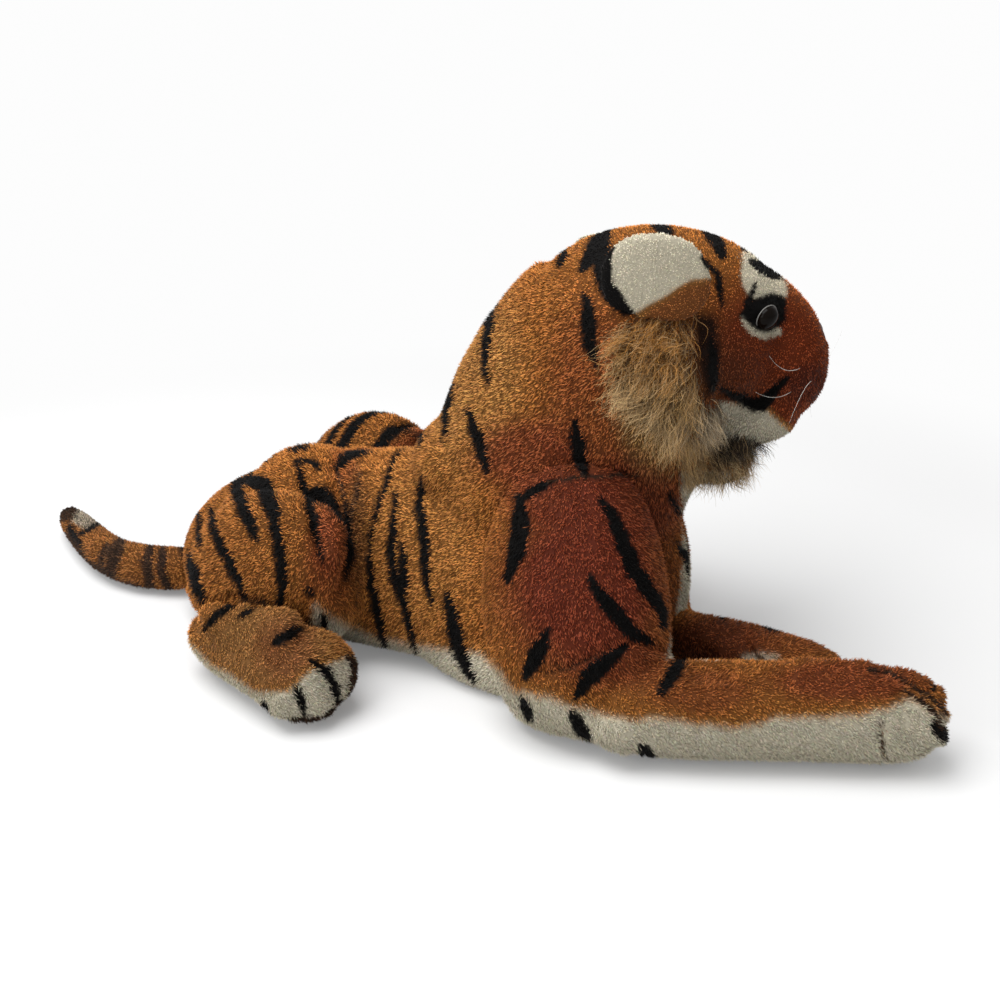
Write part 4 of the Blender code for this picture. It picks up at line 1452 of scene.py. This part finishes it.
class Tiger:
    """The toy's skins, with the random numbers and the cover that its pile is grown with."""

    def __init__(self) -> None:
        """Start with no pieces."""
        self.rng = np.random.default_rng(RNG_SEED)
        self.skins: dict[str, Skin] = {}
        self.cover = 1.0

    def add_skin(self, skin: Skin, body: str) -> None:
        """Build a skin and tie it to a body.

        Args:
            skin: the skin.
            body: the body that it rides on, unless it bends.
        """
        skin.build()
        if skin.bend:
            skin.bend.tie(skin.obj)
        else:
            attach(skin.obj, body)
        self.skins[skin.name] = skin

    def build_skins(self) -> None:
        """Build every stuffed skin."""
        trunk = (
            "torso_casing", "neck_chest", "haunch_left", "haunch_right", "head_casing", "muzzle", "chin",
            "cheek_ruff_left", "cheek_ruff_right",
        )
        stuffing = ("torso_stuffing", "head_stuffing")
        skin = Skin("body_skin", trunk, "tan_plush", BODY_COAT, creases=TRUNK_CREASES, hidden=stuffing)
        skin.bend, skin.fillers = HEAD.bend(), TRUNK_FILLERS
        skin.voxel, skin.smoothing = 2.5 * MM, 12
        self.add_skin(skin, "body")
        for side in ("right", "left"):
            self.build_foreleg(side)
            foot = f"hind_foot_{side}"
            skin = Skin(f"{foot}_skin", (foot,), "tan_plush", HIND_FOOT_COAT, 2.5 * MM, shrink=1 * MM)
            skin.creases = FOOT_CREASES
            self.add_skin(skin, f"foot_{side}")
            ear = f"ear_{side}"
            skin = Skin(f"{ear}_skin", (ear,), "cream_plush", EAR_COAT, 1.8 * MM, smoothing=3)
            skin.shrink, skin.shift = 1.2 * MM, (3 * MM, 0, 0)
            if side == "left":
                skin.shrink, skin.shift = 3.5 * MM, (0, 0, -6 * MM)
            self.add_skin(skin, f"ear_flap_{side}")
        skin = Skin("tail_skin", ("tail",), "tan_plush", TAIL_COAT, 2 * MM, shrink=2 * MM, mirror=Mirror.NONE)
        skin.creases = TAIL_CREASES
        self.add_skin(skin, "tail_body")

    def build_foreleg(self, side: str) -> None:
        """Build the skin of an upper arm and its forearm.

        Args:
            side: left or right.
        """
        joint = next(joint for joint in frame["joints"] if joint["name"] == f"foreleg_{side}_swing")
        pivot = np.array(joint["pos_m"])
        way = np.array((math.cos(ELBOWS[side]), math.sin(ELBOWS[side]), 0)) * 30 * MM
        start, end = pivot - way + 60 * MM * UP, pivot + way + 20 * MM * UP
        bend = Bend("body", f"foreleg_{side}", tuple(start), tuple(end))
        nodes = (f"upper_arm_{side}", f"forearm_{side}")
        skin = Skin(f"foreleg_{side}_skin", nodes, "rust_plush", BODY_COAT, bend=bend)
        skin.voxel, skin.smoothing, skin.shrink = 2.2 * MM, 9, 1.2 * MM
        skin.creases = ARM_CREASES
        if side == "left":
            skin.coat, skin.upper_coat = FAR_FORELEG_COAT, BODY_COAT
            skin.shift, skin.upper_shift = (-12 * MM, 0, 0), (-15 * MM, 0, 0)
            skin.mirror = Mirror.BEFORE_BEND
        self.add_skin(skin, f"foreleg_{side}")


def nose_middle() -> np.ndarray:
    """Returns: the middle of the nose."""
    low, high = (np.array(corner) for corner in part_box("nose"))
    return (low + high) / 2


def eye_axis(node: str) -> tuple[Vector, Vector]:
    """Find an eye's dome and the way it looks.

    Args:
        node: the CAD eye.

    Returns:
        The top of the dome, and the unit direction outwards.
    """
    points = read_points(frame["nodes"][node].data)
    centre = points.mean(axis=0)
    stem = points[np.argmax(np.linalg.norm(points - centre, axis=1))]
    dome = points[np.argmax(np.linalg.norm(points - stem, axis=1))]
    return Vector(dome), Vector(dome - stem).normalized()


@dataclass(frozen=True)
class SafetyEye:
    """A glossy moulded dome with a thin pale ring round it, which stands in for the highlight on the dome's rim:
    a painted reflection.
    """

    radius: float = 7.4 * MM
    dome: float = 5.2 * MM
    lift: float = 3 * MM
    rim: float = 1.2 * MM
    ring: float = 0.35 * MM
    sunk: float = 0.4 * MM
    stem: float = 13 * MM
    stem_share: float = 0.3
    steps: int = 10
    ring_steps: int = 12
    turns: int = 48

    def spun(
        self, name: str, profile: list[tuple[float, float]], place: Matrix, slot: str
    ) -> bpy.types.Object:
        """Spin a profile about the eye's axis.

        Args:
            name: the piece's name.
            profile: radius and height of each corner, from the top.
            place: the eye's frame, Z outwards.
            slot: the record's material slot.

        Returns:
            The piece.
        """
        work = bmesh.new()
        corners = [work.verts.new((radius, 0, height)) for radius, height in profile]
        edges = [work.edges.new(pair) for pair in zip(corners, corners[1:])]
        bmesh.ops.spin(
            work,
            geom=[*corners, *edges],
            cent=(0, 0, 0),
            axis=(0, 0, 1),
            angle=2 * math.pi,
            steps=self.turns,
            use_merge=True,
        )
        bmesh.ops.remove_doubles(work, verts=work.verts, dist=0.001 * MM)
        bmesh.ops.recalc_face_normals(work, faces=work.faces)
        bmesh.ops.transform(work, matrix=place, verts=work.verts)
        mesh = to_mesh(work, name)
        mesh.shade_smooth()
        return add_object(name, mesh, slot)

    def build(self, side: str) -> None:
        """Build one eye.

        Args:
            side: left or right.
        """
        node = f"eye_{side}"
        top, out = eye_axis(node)
        base = top - out * (self.dome + self.rim - self.sunk) + Vector(UP) * self.lift
        place = Matrix.Translation(base) @ out.to_track_quat("Z", "Y").to_matrix().to_4x4()
        profile = [(0, self.rim + self.dome)]
        for number in range(1, self.steps + 1):
            angle = math.pi / 2 * number / self.steps
            profile.append((self.radius * math.sin(angle), self.rim + self.dome * math.cos(angle)))
        stem = self.radius * self.stem_share
        profile += [(self.radius, 0), (stem, 0), (stem, -self.stem), (0, -self.stem)]
        eye = self.spun(f"eye_{side}_dome", profile, place, "eye_plastic")
        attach(eye, "head")
        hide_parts(node)
        middle = self.radius + self.ring
        ring = []
        for number in range(self.ring_steps + 1):
            angle = 2 * math.pi * number / self.ring_steps
            ring.append((middle + self.ring * math.cos(angle), self.rim * 0.5 + self.ring * math.sin(angle)))
        # painted reflection: this thin grey ring stands in for the highlight round the dome's rim
        rim_highlight_ring = self.spun(f"eye_{side}_ring", ring, place, "washer_plastic")
        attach(rim_highlight_ring, "head")


@dataclass(frozen=True)
class Nose:
    """The nose: a moulded pad with two nostrils pressed in. The photo hides it, so its shape is a guess."""

    nostril: float = 3 * MM
    depth: float = 1.6 * MM
    sink: float = 4.5 * MM
    narrowing: float = 0.35
    nostril_place: Point = (0.75, 0.45, -0.1)

    def build(self) -> None:
        """Build the nose over its node."""
        size = np.ptp(HEAD.local(read_points(frame["nodes"]["nose"].data)), axis=0) / 2
        work = bmesh.new()
        bmesh.ops.create_uvsphere(work, u_segments=40, v_segments=24, radius=1)
        mesh = to_mesh(work, "nose_pad")
        points = read_points(mesh)
        points[:, 1] *= 1 - self.narrowing * ease(-points[:, 2])
        points = points * size
        for side in (-1, 1):
            spot = size * np.array(self.nostril_place) * np.array((1, side, 1))
            away = np.linalg.norm(points - spot, axis=1)
            points[:, 0] -= self.depth * ease(1 - away / self.nostril)
        place = nose_middle() - HEAD.direction((1, 0, 0)) * self.sink
        write_points(mesh, points @ spin(HEAD.heading).T + place)
        mesh.shade_smooth()
        nose = add_object("nose_pad", mesh, "nose_plastic")
        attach(nose, "head")
        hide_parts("nose")


@dataclass(frozen=True)
class Whisker:
    """One drawn nylon thread."""

    thick: float = 0.32 * MM
    joints: int = 8
    sunk: float = 3 * MM
    inside: float = 60 * MM

    def build(self, node: str) -> None:
        """Build the thread over its node.

        Args:
            node: the CAD whisker.
        """
        points = read_points(frame["nodes"][node].data)
        inner = HEAD.direction((1, 0, 0)) * self.inside + np.array(HEAD.pivot)
        order = np.argsort(np.linalg.norm(points - inner, axis=1))
        share = max(1, len(order) // 12)
        root, tip = points[order[:share]].mean(axis=0), points[order[-share:]].mean(axis=0)
        middle = points[order[len(order) // 2 - share : len(order) // 2 + share]].mean(axis=0)
        length = np.linalg.norm(middle - root) + np.linalg.norm(tip - middle)
        start = unit((4 * middle - 3 * root - tip)[None])
        end = 2 * (tip - root)[None] / length - start
        fibre = Fibre(length, self.thick, flatness=1, joints=self.joints, tip=0.3)
        thread = fibre.grow(
            f"{node}_thread",
            (root - start[0] * self.sunk)[None],
            start,
            end,
            np.array([length + self.sunk]),
            UP[None] + 0.01,
            np.ones((1, 3)),
            1,
            "whisker_nylon",
        )
        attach(thread, "head")
        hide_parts(node)


@dataclass(frozen=True)
class ShortPile:
    """The cut pile on the toy's skins."""

    length: float = 3.3 * MM
    width: float = 1.15 * MM
    area: float = 1.3 * MM * MM
    lift: float = math.radians(48)
    scatter: float = 0.25
    sunk: float = 0.5 * MM
    shade: float = 0.04
    pale_shade: float = 0.25
    clump: float = 2.3 * MM
    clumps: int = 4096
    lean: float = 0.3
    unevenness: float = 0.6
    # share of the painted highlight colour on the brightest tips
    wear: float = 0.12
    blackest: float = 0.03
    gain: float = 1.3
    margin: float = 0.2
    biggest: int = 49000
    clump_edge: float = 0.3
    lift_spread: float = 0.2
    lifts: tuple[float, float] = (0.15, 1.3)
    lengths: tuple[float, float] = (0.75, 1.2)
    head_trim: float = 0.35
    head_fade: float = 30 * MM
    flap_trim: float = 0.8
    wobble: float = 1.2
    clump_tone: float = 0.45
    own_tone: float = 0.85
    tones: tuple[float, float] = (-2, 0.9)
    pale_calm: float = 0.75
    pale_loss: float = 0.25
    dye_spread: float = 0.04
    darkest: float = 0.003
    droop: float = 0.25
    floor: float = 1.2 * MM
    eye_room: float = 9.5 * MM
    nose_room: Point = (7 * MM, 12 * MM, 8 * MM)

    def flow(self, skin: Skin, points: np.ndarray) -> np.ndarray:
        """Find the way that the pile is brushed.

        Args:
            skin: the skin that it grows on.
            points: the roots.

        Returns:
            Directions, one a row.
        """
        if "foreleg" in skin.name:
            low = ease(1 - points[:, 2:] / (90 * MM))
            return np.array((0.1, 0, -1.0)) * (1 - low) + np.array((1.0, 0.0, -0.2)) * low
        if "hind_foot" in skin.name:
            return np.tile(np.array((1.0, 0.0, -0.25)), (len(points), 1))
        if "tail" in skin.name:
            return np.tile(np.array((-1.0, 0.4, -0.1)), (len(points), 1))
        if "ear" in skin.name:
            return np.tile(-HEAD.direction((0.6, 0, -0.8)), (len(points), 1))
        body = np.tile(np.array((-0.75, 0.0, -0.65)), (len(points), 1))
        head = unit(points - nose_middle()) + np.array((0, 0, -0.35))
        share = ease(HEAD.above(points) / (40 * MM) + 0.5)[:, None]
        return body * (1 - share) + head * share

    def allowed(self, skin: Skin, roots: Roots, skins: dict[str, Skin]) -> np.ndarray:
        """Leave out roots under the eyes and nose, on the floor, and inside other skins.

        Args:
            skin: the skin that they are on.
            roots: the roots.
            skins: every skin.

        Returns:
            True for each root that grows.
        """
        keep = roots.points[:, 2] > self.floor
        for side in ("left", "right"):
            top, out = eye_axis(f"eye_{side}")
            centre = np.array(top - out * 5 * MM) + UP * SafetyEye().lift
            keep &= np.linalg.norm(roots.points - centre, axis=1) > self.eye_room
        keep &= np.linalg.norm((roots.points - nose_middle()) / np.array(self.nose_room), axis=1) > 1
        for other in skins.values():
            if other is not skin:
                keep &= ~buried(other.obj, roots.points, keep)
        return keep

    def dye(
        self, skin: Skin, points: np.ndarray, tones: np.ndarray, rng: np.random.Generator
    ) -> tuple[np.ndarray, np.ndarray]:
        """Print the fibres, uneven from clump to clump, with painted highlights: where the print is dark, the
        brightest tips are paled towards a highlight colour.

        Args:
            skin: the skin that they are on.
            points: their roots.
            tones: the tone of each fibre's clump.
            rng: the random numbers.

        Returns:
            The fibres' colours, and how dark their roots are, as painted shade deep in the pile.
        """
        count = len(points)
        colours = skin.print_at(points, rng.normal(0, self.wobble, (count, 2)))
        pale = paleness(colours)
        tone = np.clip(self.clump_tone * tones + self.own_tone * rng.normal(0, 1, (count, 1)), *self.tones)
        shine = np.exp(self.unevenness * tone * (1 - self.pale_calm * pale)) * (self.gain - self.pale_loss * pale)
        dyed = colours.mean(axis=1, keepdims=True) > self.blackest
        # painted highlight: the brightest tips of dark-printed fibres are mixed towards a pale highlight colour
        tip_highlight = np.clip(shine - 1, 0, 1) * self.wear * (1 - pale) * dyed
        colours = colours * shine * (1 - tip_highlight) + Dye.HIGHLIGHT_TIP.linear() * tip_highlight
        colours = np.clip(colours * rng.normal(1, self.dye_spread, (count, 3)), self.darkest, 1)
        return colours, self.shade + (self.pale_shade - self.shade) * pale[:, 0]

    def dress(
        self, skin: Skin, skins: dict[str, Skin], rng: np.random.Generator, cover: float, body: str
    ) -> None:
        """Grow a skin's pile.

        Args:
            skin: the skin.
            skins: every skin.
            rng: the random numbers.
            cover: how many times sparser than full the pile is.
            body: the body that it rides on.
        """
        roots = scatter(skin.obj, self.area * cover, rng)
        roots = roots.keep(self.allowed(skin, roots, skins))
        count = len(roots.points)
        edges = rng.normal(0, self.clump_edge, (count, 3))
        cells = np.floor(roots.points / self.clump + edges).astype(np.int64)
        clump = (cells @ np.array((73856093, 19349663, 83492791))) % self.clumps
        leans, tones = rng.normal(0, self.lean, (self.clumps, 3)), rng.normal(0, 1, (self.clumps, 1))
        flow = unit(self.flow(skin, roots.points)) + leans[clump] + rng.normal(0, self.scatter, (count, 3))
        lift = np.clip(rng.normal(self.lift, self.lift_spread, count), *self.lifts)
        starts = lay_along(roots.normals, flow, lift)
        lengths = self.length * rng.uniform(*self.lengths, count)
        lengths *= 1 - self.head_trim * ease(HEAD.above(roots.points) / self.head_fade)
        if "ear" in skin.name or "tail" in skin.name:
            lengths *= self.flap_trim
        colours, shades = self.dye(skin, roots.points, tones[clump], rng)
        fibre = Fibre(self.length, self.width * math.sqrt(cover))
        label = skin.name.removesuffix("_skin")
        zones = {label: (np.ones(count, bool), body)}
        if skin.bend:
            share = skin.bend.share(roots.points)
            zones = {
                f"{label}_fixed": (share < -self.margin, skin.bend.parent),
                f"{label}_bending": ((share >= -self.margin) & (share <= 1 + self.margin), ""),
                f"{label}_moving": (share > 1 + self.margin, skin.bend.child),
            }
        for zone, (mask, carrier) in zones.items():
            numbers = np.flatnonzero(mask)
            numbers = numbers[np.argsort(roots.points[numbers, 0], kind="stable")]
            parts = math.ceil(len(numbers) / self.biggest)
            for part, chosen in enumerate(np.array_split(numbers, parts)):
                piece = fibre.grow(
                    f"{zone}_pile_{part + 1}",
                    roots.points[chosen] - roots.normals[chosen] * self.sunk,
                    starts[chosen],
                    unit(starts[chosen] + flow[chosen] * self.droop),
                    lengths[chosen],
                    np.cross(starts[chosen], roots.normals[chosen]) + 1e-4,
                    colours[chosen],
                    shades[chosen],
                    "rust_plush" if carrier == "head" else skin.slot,
                )
                if carrier:
                    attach(piece, carrier)
                else:
                    skin.bend.tie(piece)


def buried(obj: bpy.types.Object, points: np.ndarray, asked: np.ndarray) -> np.ndarray:
    """Find which places lie inside a closed skin.

    Args:
        obj: the skin.
        points: the places.
        asked: False for the places that need no answer.

    Returns:
        True for each place inside.
    """
    mesh = obj.data
    verts = read_points(mesh)
    low, high = verts.min(axis=0), verts.max(axis=0)
    maybe = asked & (points > low).all(axis=1) & (points < high).all(axis=1)
    inside = np.zeros(len(points), bool)
    numbers = np.flatnonzero(maybe)
    if not len(numbers):
        return inside
    work = bmesh.new()
    work.from_mesh(mesh)
    tree = BVHTree.FromBMesh(work)
    work.free()
    for number in numbers:
        point = Vector(points[number])
        outward = Vector((0, math.copysign(1, point.y), 0))
        _, normal, _, away = tree.ray_cast(point, outward)
        inside[number] = normal is not None and normal.dot(outward) > 0 and tree.find_nearest(point)[3] > MM
    return inside


RUFF_ROOTS: Line = (
    (634, 318), (660, 312), (690, 312), (694, 340), (697, 372), (703, 395), (722, 410), (716, 428),
    (748, 434), (762, 448), (760, 475), (735, 490), (690, 486), (670, 470), (650, 450), (632, 420),
    (618, 385), (618, 345),
)
RUFF_COAT = Coat(
    Dye.BEIGE,
    (
        Wash((670, 330), (56, 48), Dye.AMBER, 0.9),
        Wash((640, 430), (36, 60), Dye.STRAW, 0.6),
        Wash((715, 415), (26, 22), Dye.DUSTY_CREAM, 0.7),
        Panel(
            ((690, 310), (722, 318), (726, 395), (706, 400), (694, 360)), Dye.BLACK, soft=10, strength=0.85
        ),
        Wash((725, 476), (48, 22), Dye.STRAW, 0.85),
        Panel(((700, 430), (764, 426), (766, 452), (740, 458), (706, 454)), Dye.BLACK, soft=6, strength=0.95),
    ),
)


@dataclass(frozen=True)
class LongPile:
    """The ruff and beard: long curved fibres that hang together in locks."""

    length: float = 25 * MM
    width: float = 0.5 * MM
    area: float = 1.45 * MM * MM
    locks: int = 240
    pull: float = 0.8
    curl: float = 0.07
    crown: Point = (180 * MM, 0, 232 * MM)
    parting: float = 18 * MM
    beard_from: tuple[float, float] = (680, 425)
    beard_low: float = -32 * MM
    ruff_low: float = 1 * MM
    root_shade: float = 0.06
    wobble: float = 5
    straw: float = 0.3
    umber: float = 0.2

    def clumps(self, points: np.ndarray, rng: np.random.Generator) -> np.ndarray:
        """Give neighbouring strands a common lean.

        Args:
            points: the roots.
            rng: the random numbers.

        Returns:
            A lean for each root.
        """
        leans = rng.normal(0, 1, (self.locks, 3))
        return leans[nearest_seed(points, rng.choice(len(points), self.locks))]

    def hang(
        self,
        roots: np.ndarray,
        starts: np.ndarray,
        ends: np.ndarray,
        lengths: np.ndarray,
        rng: np.random.Generator,
    ) -> np.ndarray:
        """Draw the strands' tips together into locks.

        Args:
            roots: where the strands stand.
            starts: their directions at the root.
            ends: their directions at the tip.
            lengths: their lengths.
            rng: the random numbers.

        Returns:
            Their new directions at the tip.
        """
        count = len(roots)
        tips = roots + (starts + (ends - starts) / 2) * lengths[:, None]
        leaders = rng.choice(count, min(self.locks, count), replace=False)
        nearest = leaders[nearest_seed(roots, leaders)]
        pull = self.pull * rng.uniform(0, 1, (count, 1))
        return ends + (tips[nearest] - tips) * 2 * pull / lengths[:, None]

    def dye(self, spots: np.ndarray, rng: np.random.Generator) -> np.ndarray:
        """Dye the strands, with some straw and some umber ones among them.

        Args:
            spots: photo pixels of the roots.
            rng: the random numbers.

        Returns:
            Linear colours, one a row.
        """
        count = len(spots)
        colours = RUFF_COAT.colours(spots + rng.normal(0, self.wobble, (count, 2)))
        pick = rng.random((count, 1))
        colours = np.where(pick < self.straw, 0.45 * colours + 0.55 * Dye.STRAW.linear(), colours)
        colours = np.where(pick > 1 - self.umber, 0.3 * colours + 0.4 * Dye.UMBER.linear(), colours)
        return np.clip(colours * np.exp(rng.normal(0, 0.25, (count, 1))), 0.005, 1)

    def dress(self, skin: Skin, rng: np.random.Generator, cover: float) -> None:
        """Grow the ruff on the head's skin.

        Args:
            skin: the body skin.
            rng: the random numbers.
            cover: how many times sparser than full it is.
        """
        roots = scatter(skin.obj, self.area * cover, rng)
        spots = skin.spots(roots.points)
        own = HEAD.local(roots.points)
        beard = (spots > np.array(self.beard_from)).all(axis=1)
        keep = rng.random(len(spots)) < Panel(RUFF_ROOTS, Dye.BEIGE, soft=10).cover(spots)
        keep &= HEAD.above(roots.points) > np.where(beard, self.beard_low, self.ruff_low)
        keep &= beard | (np.abs(own[:, 1]) > self.parting)
        roots, spots, own, beard = roots.keep(keep), spots[keep], own[keep], beard[keep]
        count = len(roots.points)
        outward = np.sign(own[:, 1])[:, None] * HEAD.direction((0, 1, 0))
        crown = HEAD.local(roots.points) - np.array(self.crown)
        crown[:, 1] = 0
        flow = unit(HEAD.turned(unit(crown)) * 0.7 - UP * 0.55 + outward * 0.3)
        flow += self.clumps(roots.points, rng) * 0.4 + rng.normal(0, 0.22, (count, 3))
        lift = np.clip(rng.normal(math.radians(40), 0.35, count), 0.1, 1.4)
        starts = lay_along(roots.normals, flow, lift)
        low, front = ease((spots[:, 1] - 400) / 50), ease((spots[:, 0] - 675) / 20)
        longer = np.where(beard, -0.3, 0.7 * low * (1 - front) - 0.3 * front * low)
        lengths = self.length * rng.uniform(0.4, 1.15, count) * (1 + longer)
        ends = unit(starts - UP * 0.35 + flow * 0.3 + rng.normal(0, 0.45, (count, 3)))
        ends = self.hang(roots.points, starts, ends, lengths, rng)
        colours = self.dye(spots, rng)
        fibre = Fibre(self.length, self.width * math.sqrt(cover), joints=5)
        for name, mask in (("ruff_right_strands", own[:, 1] <= 0), ("ruff_left_strands", own[:, 1] > 0)):
            piece = fibre.grow(
                name,
                roots.points[mask] - roots.normals[mask] * MM,
                starts[mask],
                ends[mask],
                lengths[mask],
                np.cross(starts[mask], roots.normals[mask]) + 1e-4,
                colours[mask],
                self.root_shade,
                "ruff_plush",
                self.curl,
            )
            skin.bend.tie(piece)


@dataclass(frozen=True)
class Studio:
    """A plain pale floor and soft lights."""

    floor_size: float = 12.0
    floor_colour: str = "#B2B2B2"
    floor_bounce: str = "#D0D0D0"
    glow: float = 0.16
    ambient: float = 0.8
    white: float = 0.98
    shadow_edge: tuple[float, float] = (0.45, 0.75)
    aim_at: Point = (0.1, 0, 0.1)
    picture: int = 1000

    def build(self) -> None:
        """Add the floor, the lights, the camera and the render settings."""
        self.build_floor()
        self.build_world()
        self.add_light("top_softbox", (-0.3, -0.4, 1.6), 1.3, 42)
        self.add_light("front_softbox", (-0.9, -1.7, 1.0), 1.2, 20)
        CAMERA.build()
        scene = bpy.context.scene
        scene.view_settings.view_transform = "Standard"
        scene.render.resolution_x = scene.render.resolution_y = self.picture

    def build_floor(self) -> None:
        """Add the floor, which shows shadows near the toy and is white further off."""
        work = bmesh.new()
        bmesh.ops.create_grid(work, x_segments=1, y_segments=1, size=self.floor_size / 2)
        mesh = to_mesh(work, "floor")
        material = bpy.data.materials.new("studio_paper")
        tree = fresh_nodes(material)
        place = add_node(tree, "ShaderNodeTexCoord").outputs["Object"]
        away = add_node(tree, "ShaderNodeVectorMath", {0: place}, operation="LENGTH").outputs["Value"]
        fade = stretch(tree, away, self.shadow_edge, interpolation_type="SMOOTHSTEP")
        paper = {"Base Color": (*linear(self.floor_colour), 1), "Roughness": 0.9, "Specular IOR Level": 0.1}
        paper = add_node(tree, "ShaderNodeBsdfPrincipled", paper).outputs["BSDF"]
        dull = {"Color": (*linear(self.floor_bounce), 1)}
        dull = add_node(tree, "ShaderNodeBsdfDiffuse", dull).outputs["BSDF"]
        glow = self.lamp(tree, "Emission", self.glow)
        white = self.lamp(tree, "Emission", self.white)
        lit = add_node(tree, "ShaderNodeAddShader", {0: paper, 1: glow}).outputs["Shader"]
        shown = add_node(tree, "ShaderNodeMixShader", {"Fac": fade, 1: lit, 2: white}).outputs["Shader"]
        self.show(tree, "ShaderNodeOutputMaterial", dull, shown)
        mesh.materials.append(material)
        put("floor", mesh)

    def build_world(self) -> None:
        """Set the room's plain light, white where the camera sees it."""
        world = bpy.data.worlds.new("studio")
        tree = fresh_nodes(world)
        room = self.lamp(tree, "Background", self.ambient)
        seen = self.lamp(tree, "Background", self.white)
        self.show(tree, "ShaderNodeOutputWorld", room, seen)
        bpy.context.scene.world = world

    def lamp(self, tree: bpy.types.NodeTree, kind: str, strength: float) -> bpy.types.NodeSocket:
        """Add a plain white glow.

        Args:
            tree: the nodes.
            kind: Emission or Background.
            strength: how bright it is.

        Returns:
            The glow.
        """
        inputs = {"Color": (1, 1, 1, 1), "Strength": strength}
        return add_node(tree, f"ShaderNode{kind}", inputs).outputs[kind]

    def show(
        self, tree: bpy.types.NodeTree, kind: str, others: bpy.types.NodeSocket, camera: bpy.types.NodeSocket
    ) -> None:
        """Give the camera one surface and all other rays another.

        Args:
            tree: the nodes.
            kind: the type of their output node.
            others: what the other rays meet.
            camera: what the camera sees.
        """
        rays = add_node(tree, "ShaderNodeLightPath").outputs["Is Camera Ray"]
        mix = add_node(tree, "ShaderNodeMixShader", {"Fac": rays, 1: others, 2: camera})
        add_node(tree, kind, {"Surface": mix.outputs["Shader"]})

    def add_light(self, name: str, place: Point, size: float, power: float) -> None:
        """Add a soft square light.

        Args:
            name: the light's name.
            place: where it hangs.
            size: its side in metres.
            power: its power in watts.
        """
        data = bpy.data.lights.new(name, "AREA")
        data.size, data.energy = size, power
        aim(put(name, data), place, np.array(self.aim_at) - np.array(place))


def dress_inner_nodes() -> None:
    """Give the hidden stuffings and washers their finishes."""
    slots = {part["node"]: part["material_slot"] for part in frame["record"]["subparts"]}
    for name, obj in frame["nodes"].items():
        if "stuffing" in name or "washer" in name:
            obj.data.materials.clear()
            obj.data.materials.append(MATERIALS.get(slots[name]))


def main() -> None:
    """Build the whole scene."""
    tiger = Tiger()
    dress_inner_nodes()
    tiger.build_skins()
    for side in ("left", "right"):
        SafetyEye().build(side)
        for number in (1, 2, 3):
            Whisker().build(f"whisker_{side}_{number}")
    Nose().build()
    pile = ShortPile()
    bodies = {
        "body_skin": "body",
        "tail_skin": "tail_body",
        **{f"foreleg_{side}_skin": f"foreleg_{side}" for side in ("left", "right")},
        **{f"hind_foot_{side}_skin": f"foot_{side}" for side in ("left", "right")},
        **{f"ear_{side}_skin": f"ear_flap_{side}" for side in ("left", "right")},
    }
    for name, skin in tiger.skins.items():
        pile.dress(skin, tiger.skins, tiger.rng, tiger.cover, bodies[name])
    LongPile().dress(tiger.skins["body_skin"], tiger.rng, tiger.cover)
    Studio().build()


if __name__ == "__main__":
    main()
